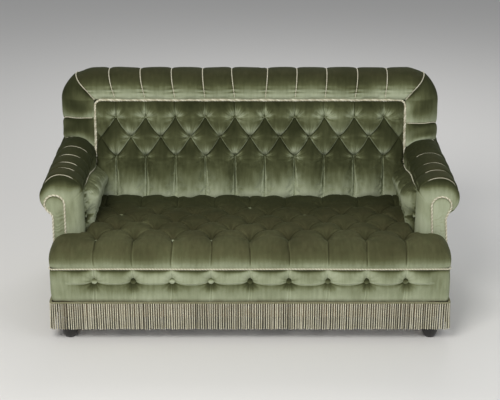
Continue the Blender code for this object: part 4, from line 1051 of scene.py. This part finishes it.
def flutes(stops, step):
    """Places a step apart over a row of flutes, as flute numbers and shares of a flute."""
    counts = np.maximum(10, (np.diff(stops) / step).astype(int))
    shares = np.concatenate([np.arange(count) / count for count in counts] + [[1.0]])
    return np.append(np.repeat(np.arange(len(counts)), counts), len(counts) - 1) + shares, shares


def on_seams(shares):
    return np.flatnonzero((shares < 0.001) | (shares > 0.999))


def make_top_roll():
    feet, tops = roll_seams()
    plain = roll_line(64)
    slope = unit(np.gradient(plain, axis=0))
    normal = np.stack([slope[:, 1], -slope[:, 0]], 1)
    number, shares = flutes(feet, 0.0055)
    bases, lines = (np.interp(number, range(len(feet)), row) for row in (feet, tops))
    rise, base = np.meshgrid(plain[:, 0], bases, indexing="ij")
    share = np.broadcast_to(shares, rise.shape)
    along = np.broadcast_to(np.linspace(0, 1, len(plain))[:, None], rise.shape)
    ends = ease(along / 0.08) * (0.35 + 0.65 * ease((1 - along) / 0.25))
    near = np.minimum(share, 1 - share)
    gathers = np.sin(along * 2 * pi * 21 + 1.3 * waves(base, rise, 0.2, 51))
    pinch = gathers * np.exp(-near / 0.17) * bell(along - 0.115, 0.065)
    swell = 0.0060 * flute_height(share) * ends + 0.0030 * pinch
    swell += 0.0016 * waves(base, along * 0.4, 0.16, 52) * flute_height(share)
    x = roll_x(base, np.broadcast_to(lines, rise.shape), rise)
    y = plain[:, 1, None] + swell * normal[:, 1, None]
    z = ROLL_BASE + rise + swell * normal[:, 0, None] - droop(rise, ROLL_END - np.abs(x))
    points = np.stack([x, y, z], -1)
    # Painted light and shade: light low on the front, which faces forwards and down, dark over the
    # top, which faces up; painted shade in the gathers and along the seams; the waves are the
    # pile's own tone.
    bias = np.interp(along, (0, 0.05, 0.10, 0.16, 0.23, 0.34, 0.6),
                     (0.06, 0.10, 0.26, 0.48, 0.74, 0.94, 0.90)) - 0.5
    bias = bias + 0.08 * waves(base, along * 0.5, 0.3, 53) + 0.40 * pinch \
        + 0.20 * np.exp(-near / 0.03)
    points = settle(points, (near < 0.001) | (along < 0.03) | (along > 0.7), (0, -0.5, 1),
                    ((), on_seams(shares)), 2, cap=0.002)
    made = shell("back_roll", points, roll_back, bias=bias, worn=0.20 * bell(along - 0.33, 0.12),
                 gain=0.30)
    mount(made, ["top_roll"])
    laid = []
    for foot, top in zip(feet, tops):
        start = 0 if abs(foot) > MITRED else 3
        (climb, place), lift = plain[start:].T, CORD_LIFT * normal[start:].T
        across = roll_x(foot, top, climb)
        level = ROLL_BASE + climb + lift[0] - droop(climb, ROLL_END - np.abs(across))
        laid.append((np.stack([across, place + lift[1], level], 1), 0.0026))
    cords("roll_seam_cords", laid, 0.009, 6, 0.002)


def roll_back(v):
    """The hidden side of the roll, drawn down inside it."""
    if v.y > 0.86 and v.z < ROLL_BASE - 0.03:
        return (v.x, v.y - 0.009, v.z)
    place, level = ROLL_AXIS_PLACE, ROLL_BASE + 0.02
    return (v.x * 0.998, place + (v.y - place) * 0.35, level + (v.z - level) * 0.3)


# ------------------------------------------------------------------------- arms

ARM_AXIS, ARM_AXIS_HEIGHT, ARM_HALF, ARM_TUCK, ARM_UNDER = 0.7915, 0.590, 0.0915, 0.018, 0.068
ARM_INSIDE, ARM_HOLLOW = 0.6985, 0.7345
# The two arms differ: -1 is the left one and 1 the right one, as the photograph shows them.
ARM_RISE = {-1: 0.085, 1: 0.072}
ARM_SEAMS = {-1: (0.184, 0.268, 0.339, 0.435, 0.547, 0.700),
             1: (0.182, 0.276, 0.367, 0.493, 0.697)}
# Painted shade of each piece of an arm, on each side: the two sides painted lighter or darker as
# light falls differently on them.
ARM_SHADE = {-1: 0.41, 1: 0.32}
CAP_SHADE = {-1: 0.40, 1: 0.22}
INNER_ARM_SHADE = {-1: -0.13, 1: 0.13}
FACING_SHADE = {-1: 0.0, 1: -0.16}
FACING = {-1: (0.8155, 0.554, 0.0415), 1: (0.799, 0.547, 0.0415)}   # centre and radius
FACING_FEET = {-1: (0.7765, 0.8275), 1: (0.771, 0.8315)}
FACING_LEAN = {-1: 0.995, 1: 0.97}
NECK = {-1: (0.8245, 0.497), 1: (0.8195, 0.490)}
FACING_FRONT, FACING_FOOT = 0.160, 0.345
WRAP_END = 0.212


def arm_edge(y):
    """The height of the seam along the inner top edge of an arm."""
    return 0.599 - 0.044 * ease((y - 0.36) / 0.27)


def arm_height(x, side):
    half = np.where(x > ARM_AXIS, ARM_HALF - ARM_TUCK, ARM_HALF)
    reach = np.minimum(0.93, np.abs(x - ARM_AXIS) / half)
    return ARM_AXIS_HEIGHT + ARM_RISE[side] * np.sqrt(1 - reach ** 2)


def arm_section(y, side, count):
    """(x, z) over an arm's roll from the seam inside to the one under its overhang."""
    start = float(arm_edge(y))
    points = [(0.7003, start), (0.6995, start + 0.009)]
    for degrees in range(164, -49, -11):
        a = radians(degrees)
        half = ARM_HALF - (ARM_TUCK if cos(a) > 0 else 0)
        rise = ARM_RISE[side] if a > 0 else ARM_UNDER
        points.append((ARM_AXIS + half * cos(a), ARM_AXIS_HEIGHT + rise * sin(a)))
    return spline(points + [(0.8345, 0.5345), (0.8287, 0.5290)], count)


def make_arm_roll(side):
    stops = [*ARM_SEAMS[side], 0.8735]
    number, shares = flutes(stops, 0.0052)
    ys = np.interp(number, range(len(stops)), stops)
    flat = np.array([arm_section(y, side, 66) for y in ys])
    slope = unit(np.gradient(flat, axis=1))
    out = np.stack([-slope[..., 1], slope[..., 0]], -1)
    out *= np.sign(np.sum(out[..., 1]))
    y, along = np.broadcast_arrays(ys[:, None], np.linspace(0, 1, 66)[None, :])
    plump, near = flute_height(shares)[:, None], np.minimum(shares, 1 - shares)[:, None]
    ends = (0.25 + 0.75 * ease(along / 0.12)) * (0.25 + 0.75 * ease((1 - along) / 0.25))
    gathers = np.sin(along * 2 * pi * 19 + 1.2 * waves(y, along * 0.3, 0.1, 61 + side))
    ruche = np.sin(y * 2 * pi / 0.0105 + 2.2 * waves(y, along * 0.05, 0.09, 63))
    swell = 0.0055 * plump * ends
    swell = swell + 0.00135 * gathers * np.exp(-near / 0.16) * bell(along - 0.16, 0.10)
    swell = swell + 0.0015 * waves(y, along * 0.3, 0.12, 62 + side) * plump
    swell = (swell + 0.0013 * ease(1 - along / 0.14) * ruche * plump ** 0.5)[..., None]
    x, z = np.moveaxis(flat + swell * out, -1, 0)
    points = np.stack([side * x, y, z], -1)
    outward = away_from(points, (side * ARM_AXIS, 0.5, 0.58))
    points = settle(points, near < 0.001, outward, (on_seams(shares), ()), 2, cap=0.002)
    # Painted shade along the seams, and painted light at the foot of the roll inside; the waves are
    # the pile's own tone.
    bias = ARM_SHADE[side] + 0.05 * np.exp(-near / 0.05) - 0.10 * ease(1 - along / 0.10) \
        + 0.05 * waves(y, along * 0.4, 0.15, 64)
    worn = 0.25 * bell(along - 0.42, 0.16) * ease(1 - (y - 0.25) / 0.45)
    made = skin(name_for(side, "arm_top_pad"), points, outward, 0.006, bias, worn)
    mount(made, [name_for(side, "arm_roll")])
    laid = []
    for seam in ARM_SEAMS[side]:
        line = arm_section(seam, side, 100)[16:74]
        hide = 0.024 - 0.060 * ease(np.abs(np.linspace(-1, 1, len(line))) * 2 - 1) ** 1.5
        line = line + (line - np.array([ARM_AXIS, ARM_AXIS_HEIGHT])) * hide[:, None]
        laid.append(([(side * a, seam, b) for a, b in line], 0.0019))
    cords(name_for(side, "arm_seam_cords"), laid, 0.0075, 6, 0.0018)


def facing_line(side, count=150):
    """The keyhole edge of a facing, up inside, round the top and down outside."""
    cx, cz, radius = FACING[side]
    foot_in, foot_out = FACING_FEET[side]
    neck = np.array(NECK[side])
    shoulder = (cx - radius * FACING_LEAN[side], cz - 0.02)
    return even(np.vstack([
        np.linspace((foot_in, FACING_FOOT), shoulder, 20, endpoint=False),
        arc((cx, cz), radius, 176, -40, 36),
        neck + (0.0035, 0.011),
        np.linspace(neck, (foot_out, FACING_FOOT), 15)]), count)


def make_facing(side):
    cx, cz, _ = FACING[side]
    line = facing_line(side)
    drop = ease((cz - line[:, 1]) / 0.06)
    middle = np.stack([cx + (0.801 - cx) * drop, np.minimum(line[:, 1], cz)], 1)
    shares = 1 - np.linspace(1, 0, 12) ** 1.6
    flat = line[:, None, :] + (middle - line)[:, None, :] * shares[None, :, None]
    x, z = flat[..., 0], flat[..., 1]
    deep = np.sqrt(clip01(1 - (1 - shares) ** 2))
    wrinkle = np.sin(z * 2 * pi / 0.019 + 4.0 * waves(x, z, 0.05, 71 + side))
    wrinkle = wrinkle * (0.5 + 0.5 * waves(x, z, 0.06, 74)) * ease((0.535 - z) / 0.05)
    y = FACING_FRONT + 0.002 - 0.0055 * deep - 0.0009 * wrinkle * deep
    front, back = (np.stack([side * x, face, z], -1) for face in (y, np.full(x.shape, STUMP_FACE)))
    ids = np.arange(x.size).reshape(x.shape)
    made = sandwich(name_for(side, "facing_pad"), front, back, (ids[:, 0], ids[0], ids[-1]))
    mend(made, 60, 0.00005)
    paint_tone_and_shade(made, FACING_SHADE[side])
    mount(made, [name_for(side, "arm_facing")])
    path = [(side * a, FACING_FRONT - 0.0015, b) for a, b in line]
    cords(name_for(side, "facing_piping"), [(path, 0.0045)], 0.0165, 8, 0.0021,
          [name_for(side, "facing_cord")])


def turned_outwards(points, outward):
    """The normals of a grid, on the side where they mostly agree with outward."""
    normal = grid_normals(points)
    return normal * np.sign(np.sum(normal * outward))


def make_cap(side):
    """The front of an arm: round the facing, over on to the roll and down inside."""
    cx, cz, _ = FACING[side]
    line = facing_line(side, 400)
    turn = int(np.argmin(np.abs(line[:200, 1] - (cz - 0.02))))
    end = int(np.argmin(np.hypot(line[200:, 0] - NECK[side][0], line[200:, 1] - 0.497)) + 200)
    seam = ARM_SEAMS[side][0]
    section = arm_section(seam, side, 84)
    starts = np.vstack([even(line[:turn + 1], 44), even(line[turn:end + 1], 84)[1:]])
    inside = np.linspace((ARM_INSIDE, FACING_FOOT), (ARM_INSIDE, section[0, 1]), 44)
    goals = np.vstack([inside, section[1:]])
    over = np.concatenate([np.zeros(44), np.linspace(0, 1, 84)[1:]])[:, None]
    v = np.linspace(0, 1, 34)[None, :]
    side_run = np.sin(pi * v / 2) ** 0.92
    flat = starts[:, None, :] + (goals - starts)[:, None, :] * side_run[..., None]
    front = FACING_FRONT + 0.0005
    goal_y = seam + (WRAP_END - seam) * (1 - ease(over / 0.16))
    y = front + (goal_y - front) * (1 - np.cos(pi * v / 2)) ** 1.05
    points = np.stack([side * flat[..., 0], y, flat[..., 1]], -1)
    outward = away_from(points, (side * cx, 0.26, 0)) * (1, 1, 0)
    outward[..., 2] = points[..., 2] - np.minimum(points[..., 2], cz)
    normal = turned_outwards(points, outward)
    arch, on_top = np.sin(pi * v), ease(over / 0.2)
    full = (0.0075 * on_top + 0.007 * ease((over - 0.55) / 0.2)) * ease((1.02 - over) / 0.12)
    swell = arch ** 0.8 * (full + 0.004 * (1 - on_top))
    u, v = np.broadcast_arrays(np.arange(len(starts))[:, None] * 0.004, v)
    swell = swell + 0.0012 * waves(u, v * 0.07, 0.07, 81 + side) * arch
    pucker = np.sin(u * 2 * pi / 0.011 + 1.5 * waves(u, v * 0.05, 0.1, 83)) * np.exp(-v / 0.10)
    swell = swell + 0.0008 * pucker * np.sin(pi * clip01(v * 4)) * ease(over / 0.1)
    # Painted shade, deepening over the top of the arm, which faces up, and back from the front; the
    # waves are the pile's own tone.
    bias = CAP_SHADE[side] * ease(over / 0.25) * clip01((v - 0.02) / 0.7) - 0.02 \
        + 0.08 * waves(u, v * 0.08, 0.12, 84)
    made = skin(name_for(side, "arm_front_pad"), points + normal * swell[..., None], normal,
                0.004, bias)
    mount(made, [name_for(side, "arm_cap")])


ARM_BUTTONS = ((0.240, 0.476), (0.335, 0.478), (0.430, 0.476), (0.525, 0.470))
ARM_BUTTON_PITCH, ARM_BUTTON_HEIGHT = 0.095, 0.477
# (share of the height, thickness) of the stuffing inside an arm.
ARM_STUFFING = ((0, 0), (0.08, 0.010), (0.22, 0.028), (0.45, 0.037), (0.64, 0.050), (0.78, 0.053),
                (0.90, 0.037), (0.97, 0.015), (1, 0))


def make_inner_arm(side):
    t, s = np.meshgrid(np.linspace(0, 1, 96), np.linspace(0, 1, 150), indexing="ij")
    low, front = 0.372, WRAP_END - 0.001
    z = low + (arm_edge(front + (0.66 - WRAP_END) * s) - 0.0015 - low) * t
    y = front + (back_plane(z) - 0.0015 - WRAP_END) * s
    spots = list(ARM_BUTTONS)
    bay = channel(y - ARM_BUTTONS[0][0], ARM_BUTTON_PITCH)
    above = clip01((z - ARM_BUTTON_HEIGHT) / (arm_edge(y) - ARM_BUTTON_HEIGHT))
    lift = np.interp((z - low) / (arm_edge(y) - low), *spline(ARM_STUFFING, 200).T)
    rim = ease(s / 0.16) * (0.3 + 0.7 * ease((1 - s) / 0.10))
    swell = lift * (1 - 0.20 * (1 - bay) ** 1.5) * rim
    swell = swell - np.minimum(swell + 0.004, dips(y, z, spots, 0.042, 0.0145)) \
        - rays(y, z, spots, 0.0034, 0.034, 91 + side)
    ruche = np.sin(y * 2 * pi / 0.0085 + 2.0 * waves(y, z, 0.06, 92)) \
        * ease((above - 0.62) / 0.2) * ease((1 - above) / 0.12) * rim
    swell = swell + 0.0013 * ruche + 0.0016 * waves(y, z, 0.07, 93 + side) * rim * bay
    points = np.stack([side * (ARM_INSIDE - swell), y, z], -1)
    sunk = dips(y, z, spots, 1.0, 0.014)
    points = settle(points, sunk > 0.45, (-side, 0, 0), cap=0.005)
    # Painted shade in the buttons' dips, low down by the seat and at the front end, where the pad
    # meets the cap; painted light towards the top and beside the buttons; painted stripes on the
    # ruching; the waves are the pile's own tone.
    bias = INNER_ARM_SHADE[side] - 0.05 * (1 - bay) ** 3 * (above > 0) \
        - 0.06 * bell(z - ARM_BUTTON_HEIGHT, 0.020) * bay - 0.20 * ease(above / 0.5)
    bias = bias + 0.70 * sunk + 0.20 * ruche + 0.05 * waves(y, z, 0.12, 95)
    bias = bias + 0.12 * ease((0.440 - z) / 0.04) + 0.30 * ease((0.10 - s) / 0.08)
    made = shell(name_for(side, "inner_arm_pad"), points,
                 lambda v: (side * ARM_HOLLOW, v.y, v.z), bias=bias)
    mount(made, [name_for(side, "inside_arm")])
    places = [((side * (ARM_INSIDE + 0.0010), a, b), (-side, 0, 0.15)) for a, b in ARM_BUTTONS[:3]]
    add_buttons(name_for(side, "arm_buttons"), places)
    ys = np.linspace(0.206, 0.640, 60)
    across = side * (0.6982 + 0.005 * ease((0.31 - ys) / 0.08))
    path = np.stack([across, ys, arm_edge(ys) + 0.0005], 1)
    cords(name_for(side, "arm_piping"), [(path, 0.0029)], 0.0105, 7, 0.0019,
          [name_for(side, "arm_cord")])


# ------------------------------------------------------------------------- ears

EAR_SEAM = {-1: 0.762, 1: 0.738}
# Painted shade of each ear, which faces up, the left one painted darker.
EAR_SHADE = {-1: 0.42, 1: 0.24}


def make_ear(side):
    """The roll's end, turned down beside the back on to the arm, sewn across once."""
    rise, place = roll_line(84).T
    widen, mitre = (EAR_HALF - 0.700) / rise.max(), MITRE_SPREAD / MITRE_RISE
    upper = 33   # steps down to the seam across
    stops = np.concatenate([np.linspace(0, 1, upper + 1), 1 + np.linspace(0, 1, 24)[1:]])
    down, r = np.meshgrid(stops, rise, indexing="ij")
    spot = np.broadcast_to(place, r.shape)
    x = 0.7003 + r * (mitre + (np.where(r > 0, widen, 1) - mitre)
                      * np.sin(pi / 2 * clip01(down / 0.55)))
    seam = EAR_SEAM[side] - 0.030 * ease((spot - 0.715) / 0.09)
    on_arm = np.maximum(0.634, arm_height(x, side) + 0.001)
    foot = np.where((r <= 0) & (spot > 0.80), 0.660, on_arm)
    top = ROLL_BASE + r - droop(r, 0)
    z = np.where(down < 1, top + (seam - top) * down, seam + (foot - seam) * (down - 1))
    slack = clip01((0.869 - spot) / (0.869 - back_plane(ROLL_BASE)))
    y = spot - BACK_RAKE * np.maximum(0, ROLL_BASE - z) * slack
    points = np.stack([side * x, y, z], -1)
    normal = turned_outwards(points, away_from(points, (side * 0.775, 0.79, 0)) * (1, 1, 0.3))
    share = np.where(down < 1, down, down - 1)
    near, full = np.minimum(share, 1 - share), flute_height(share)
    along = np.broadcast_to(np.linspace(0, 1, len(rise)), r.shape)
    ends = ease(along / 0.06) * (0.25 + 0.75 * ease((1 - along) / 0.2))
    swell = np.where(down < 1, 0.0095, 0.0085) * full * ends
    gathers = np.sin(along * 2 * pi * 17 + 1.4 * waves(along * 0.3, down * 0.1, 0.1, 96 + side))
    gathers = gathers * np.exp(-near / 0.14) * bell(along - 0.13, 0.11) * (down > 0.3)
    swell = swell + 0.0011 * gathers
    swell = swell + 0.0016 * waves(along * 0.35, down * 0.1, 0.09, 97 + side) * full
    points = points + normal * swell[..., None]
    # Painted shade along the seams; painted light at the front and down the lower part of each
    # flute; the waves are the pile's own tone.
    bias = EAR_SHADE[side] + 0.05 * np.exp(-near / 0.07) - 0.28 * ease((0.12 - along) / 0.1) \
        - 0.32 * ease((share - 0.55) / 0.45) * bell(along - 0.2, 0.22) \
        + 0.08 * waves(along * 0.4, down * 0.12, 0.12, 98)
    made = skin(name_for(side, "ear_pad"), points, normal, 0.006, bias)
    mount(made, [name_for(side, "ear")])
    line = points + normal * CORD_LIFT
    cords(name_for(side, "ear_seam_cords"),
          [(line[upper, 3:70], 0.0027), (line[-1, 4:62], 0.0027)], 0.0095, 6, 0.002)


# --------------------------------------------------------------- outside covers

HEM = 0.1862   # the foot of the outside covers


def hem_wear(z):
    return 0.4 * ease((0.198 - z) / 0.012)


def make_outside_arm(side):
    y, z = np.meshgrid(np.linspace(0.1762, 0.868, 60), np.linspace(HEM, 0.5275, 34))
    across, up = (y - 0.1762) / 0.6918, (z - HEM) / 0.3413
    plump = (np.sin(pi * clip01(across)) * np.sin(pi * clip01(up))) ** 0.35
    x = 0.8262 + 0.0032 * plump + 0.0008 * waves(y, z, 0.3, 101 + side) * plump
    made = skin(name_for(side, "outer_cover"), np.stack([side * x, y, z], -1), (side, 0, 0),
                0.004, 0.02, hem_wear(z))
    mount(made, [name_for(side, "outside_arm")])


# (height, half width) of the outside back, which spreads over the arms' ends.
OUTSIDE_BACK = ((0.186, 0.827), (0.5275, 0.827), (0.531, 0.8385), (0.545, 0.851), (0.565, 0.860),
                (0.590, 0.863), (0.610, 0.860), (0.626, 0.850), (0.640, 0.834), (0.652, 0.810),
                (0.660, 0.700), (0.675, 0.655), (0.80, 0.655))


def make_outside_back():
    heights, halves = zip(*OUTSIDE_BACK)
    low, high = heights[0], heights[-1]
    zs = np.unique(np.concatenate([np.linspace(low, high, 60), heights]))
    share, z = np.meshgrid(np.linspace(-1, 1, 91), zs)
    x = share * np.interp(zs, heights, halves)[:, None]
    up = np.sin(pi * clip01((z - low) / (high - low)))
    plump = (clip01(1 - share ** 8) * up) ** 0.35
    y = 0.8728 + 0.0042 * plump + 0.0010 * waves(x, z, 0.35, 105) * plump
    made = skin("back_cover", np.stack([x, y, z], -1), (0, 1, 0), 0.004, 0.04, hem_wear(z))
    mount(made, ["outside_back"])


# ------------------------------------------------------------------------ cords

def mirrored(half):
    """A line across the sofa, from its right half, which ends short of the middle."""
    return half + [(-x, y) for x, y in reversed(half)]


def make_back_cord():
    """The thick cord round the inside back, from behind one arm to behind the other."""
    half, top, corner, foot = 0.6980, 0.8385, 0.030, 0.560
    flat = [(half, foot), (half, 0.62), (half, 0.70), (half, 0.77),
            *arc((half - corner, top - corner), corner, 0, 90, 10),
            (0.5, top), (0.3, top), (0.1, top)]
    path = [(x, back_plane(z) - 0.0065, z) for x, z in spline(mirrored(flat), 500)]
    cords("inside_back_rope", [(path, 0.0071)], 0.036, 9, 0.0024, ["back_cord"], 3)


def make_piping():
    half, front, corner = 0.8275, 0.002, 0.016
    plan = [(half, 0.152), (half, 0.10), (half, 0.05), (half, 0.018),
            *arc((half - corner, corner + front), corner, 0, -90, 8),
            (0.70, front), (0.4, front), (0.1, front)]
    path = [(x, y, 0.3300 + 0.0006 * sin(x * 9)) for x, y in spline(mirrored(plan), 600)]
    cords("front_edge_piping", [(path, 0.0038)], 0.012, 7, 0.0021, ["front_piping"])


# ----------------------------------------------------------------------- fringe

SIDES = ("front", "left", "right", "back")


def fringe_plan(reach, count):
    """The line round the sofa, that far out from its sides, from the middle of the back."""
    half, front, back, corner = OUTER_HALF + reach, -reach, BACK_FACE + reach, 0.014
    plan = [(0, back), (half - corner, back),
            *arc((half - corner, back - corner), corner, 90, 0, 8),
            (half, 0.45),
            *arc((half - corner, front + corner), corner, 0, -90, 8),
            (0, front)]
    return even(np.array(plan + [(-x, y) for x, y in reversed(plan[:-1])]), count)


def bullion_template(turn, sides, phase, steps, radius, reach):
    """One bullion cord: a strand that runs down, turns at the foot and twists back up."""
    down = np.linspace(0, 1, steps)
    angle = 2 * pi * down / turn + phase
    first = np.stack([reach * np.cos(angle), reach * np.sin(angle), -down], 1)
    bend = np.arange(1, 6) * pi / 6
    swing = reach * np.cos(bend)
    loop = np.stack([swing * cos(angle[-1]), swing * sin(angle[-1]), -1 - 0.016 * np.sin(bend)], 1)
    centre = np.vstack([first, loop, (first * (-1, -1, 1))[::-1]])
    normals, binormals = frames_along(centre * (1, 1, 0.115))
    offsets = np.stack([radius * (c * normals + s * binormals) for c, s in circle(sides)], 1)
    ids = np.arange(len(centre) * sides).reshape(-1, sides)
    after = np.roll(ids, -1, axis=1)
    quads = np.stack([ids[:-1], after[:-1], after[1:], ids[1:]], -1).reshape(-1, 4)
    faces = quads.tolist() + [ids[0][::-1].tolist(), ids[-1].tolist()]
    return np.repeat(centre, sides, axis=0), offsets.reshape(-1, 3), faces


def side_at(x, y):
    if y < 0.004:
        return "front"
    if y > BACK_FACE - 0.004:
        return "back"
    return "left" if x < 0 else "right"


def make_fringe():
    """Bullion cords hung side by side round the sofa, one mesh to each side."""
    top, drop, pitch, rear_inset = 0.1765, 0.1165, 0.0047, 0.0042
    draw = np.random.default_rng(2024)
    turns = ((0.115, 0.0), (0.105, 1.3), (0.125, 2.1), (0.110, 3.7), (0.120, 4.6), (0.100, 5.5))
    fronts = [bullion_template(turn, 5, phase, 32, 0.0016, 0.0011) for turn, phase in turns]
    behind = [bullion_template(turn * 1.5, 4, phase, 22, 0.0017, 0.0012) for turn, phase in turns]
    line = fringe_plan(0.0054, 4000)
    count = int(steps_of(line).sum() / pitch)
    count += count % 2
    streak = np.convolve(draw.uniform(-1, 1, count), np.ones(9) / 3, "same")
    parts = {key: Gather() for key in SIDES}
    for k in range(count):
        place = (k + 0.5) / count * (len(line) - 1) + draw.normal(0, 0.35)
        index = int(min(max(place, 1), len(line) - 2))
        x, y = line[index]
        tangent = unit(line[index + 1] - line[index - 1])
        out = np.array((-tangent[1], tangent[0]))
        if out @ (line[index] - np.array((0, 0.44))) < 0:
            out = -out
        rear = k % 2
        centres, offsets, faces = (behind if rear else fronts)[draw.integers(len(fronts))]
        length = drop * draw.uniform(0.985, 1.015)
        share = -centres[:, 2]
        sway = draw.normal(0, 0.0006) * share ** 1.6
        kick = (0.0004 + abs(draw.normal(0, 0.0005))) * share ** 1.4 - rear_inset * rear
        corner = min(abs(abs(x) - OUTER_HALF), 1) + min(abs(y), abs(y - BACK_FACE))
        kick = kick + 0.004 * max(0.0, 1 - corner / 0.03) * share
        spin = draw.uniform(0, 2 * pi)
        a, b, _ = (centres + offsets).T
        across = a * cos(spin) - b * sin(spin) + sway
        outwards = a * sin(spin) + b * cos(spin) + kick
        flat = line[index] + np.outer(across, tangent) + np.outer(outwards, out)
        verts = np.column_stack([flat, top + centres[:, 2] * length + offsets[:, 2]])
        # The rear row is a real second layer of cords, toned near black as painted shade in the
        # gaps between the front cords.
        if rear:
            shade = draw.uniform(0.88, 1.0)
        else:
            shade = 0.06 + 0.11 * streak[k] + draw.uniform(-0.1, 0.1)
        if draw.uniform() < 0.10:
            shade = draw.uniform(0.35, 0.6)
        parts[side_at(x, y)].add(world(verts), faces, shade)
    for key, gather in parts.items():
        mount(gather.build(key + "_bullion", bullion_yarn), [key + "_fringe"])


def side_of(line, key):
    """Which points of a line round the sofa belong to one side's trim."""
    x, y = line.T
    if key == "front":
        return y < 0.006
    if key == "back":
        return y > BACK_FACE - 0.006
    return (x * (-1 if key == "left" else 1) > 0.81) & (y >= 0.0055) & (y <= BACK_FACE - 0.0055)


def make_heading():
    """The narrow braid that the bullion hangs from, with a row behind that covers its tops."""
    rows = ((0.0050, 0.1815, 0.0024), (0.0050, 0.1775, 0.0019), (0.0012, 0.1790, 0.0030))
    for key in SIDES:
        laid = []
        for reach, height, radius in rows:
            line = fringe_plan(reach, 2400)
            path = line[side_of(line, key)]
            if key == "back":
                path = path[np.argsort(path[:, 0])]
            laid.append(([(x, y, height) for x, y in path], radius))
        cords(key + "_braid", laid, 0.0075, 6, 0.0019, [key + "_fringe_heading"], yarn=braid_yarn)


# ------------------------------------------------------------------------- feet

# (radius, height) of a foot from the floor up.
FOOT_PROFILE = ((0.0195, 0.0), (0.0222, 0.0012), (0.0240, 0.0050), (0.0285, 0.0125),
                (0.0315, 0.0230), (0.0322, 0.0330), (0.0305, 0.0440), (0.0262, 0.0525),
                (0.0225, 0.0565), (0.0240, 0.0590), (0.0248, 0.0615), (0.0236, 0.0640),
                (0.0212, 0.0665), (0.0205, 0.0760), (0.0205, 0.0890))


def make_feet():
    """Turned bun feet, blackened, each with a neck, a bead and a worn tread."""
    profile = spline(FOOT_PROFILE, 46)
    sides = 48
    last = (len(profile) - 1) * sides
    faces = ring_faces(len(profile), sides) + [list(range(last, last + sides))]
    for row in ("front", "back"):
        for side in (-1, 1):
            low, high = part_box(name_for(side, row + "_foot"))
            x, y, scale = (low[0] + high[0]) / 2, (low[1] + high[1]) / 2, high[2] / profile[-1, 1]
            verts = [(x + radius * c, y + radius * s, z * scale)
                     for radius, z in profile for c, s in circle(sides)]
            made = mesh_object(name_for(side, row + "_bun_foot"), verts, faces, black_polish)
            made.data.set_sharp_from_angle(angle=radians(50))
            mount(made, [name_for(side, row + "_foot")])


def dress_frame():
    """The wood, webbing and cloth inside keep the model's shapes and take their finish."""
    finishes = {"beech": beech, "hessian": hessian, "black_cloth": black_cloth}
    for row in frame["record"]["subparts"]:
        finish = finishes.get(row["material_slot"])
        if finish:
            piece = frame["nodes"][row["node"]]
            if not piece.data.materials:
                piece.data.materials.append(finish)
            for slot in piece.material_slots:
                slot.material = finish


make_seat()
make_inside_back()
make_border()
make_top_roll()
for flank in (-1, 1):
    make_arm_roll(flank)
    make_cap(flank)
    make_facing(flank)
    make_inner_arm(flank)
    make_ear(flank)
    make_outside_arm(flank)
make_outside_back()
make_back_cord()
make_piping()
make_fringe()
make_heading()
make_feet()
dress_frame()


# --------------------------------------------------------------- stage and light

def make_stage():
    paint = Finish("pale_floor", 0.8)
    paint.put(paint.shader.inputs["Base Color"], (0.72, 0.71, 0.69, 1))
    corners = [(-30, -30, 0), (30, -30, 0), (30, 30, 0), (-30, 30, 0)]
    floor = mesh_object("studio_floor", corners, [(0, 1, 2, 3)], paint.made)
    backdrop = bpy.data.worlds.new("studio")
    bpy.context.scene.world = backdrop
    backdrop.use_nodes = True
    shade = backdrop.node_tree.nodes["Background"]
    shade.inputs["Color"].default_value = (0.95, 0.97, 1.0, 1)
    shade.inputs["Strength"].default_value = 0.34


def area_light(name, place, target, size, power, colour=(1, 1, 1)):
    data = bpy.data.lights.new(name, "AREA")
    data.shape = "RECTANGLE"
    data.size, data.size_y = size
    data.energy, data.color = power, colour
    lamp = placed(name, data)
    lamp.location = place
    lamp.rotation_mode = "QUATERNION"
    lamp.rotation_quaternion = (Vector(target) - Vector(place)).to_track_quat("-Z", "Y")


def make_camera():
    data = bpy.data.cameras.new("camera")
    data.sensor_width, data.lens = 36, 88.6
    camera = placed("camera", data)
    camera.location = (0, -4.6 - MIDDLE, 2.459)
    camera.rotation_euler = (radians(90 - 21.6), 0, 0)
    bpy.context.scene.camera = camera


make_stage()
area_light("key", (-1.4, -3.2, 3.6), (0, 0, 0.4), (2.2, 1.6), 150, (1.0, 0.985, 0.95))
area_light("fill", (2.8, -2.6, 2.2), (0, 0, 0.45), (2.4, 2.0), 38, (0.95, 0.98, 1.0))
area_light("rear", (0.4, 3.2, 3.4), (0, 0.1, 0.5), (3.0, 1.6), 55)
make_camera()
bpy.context.scene.view_settings.view_transform = "Standard"
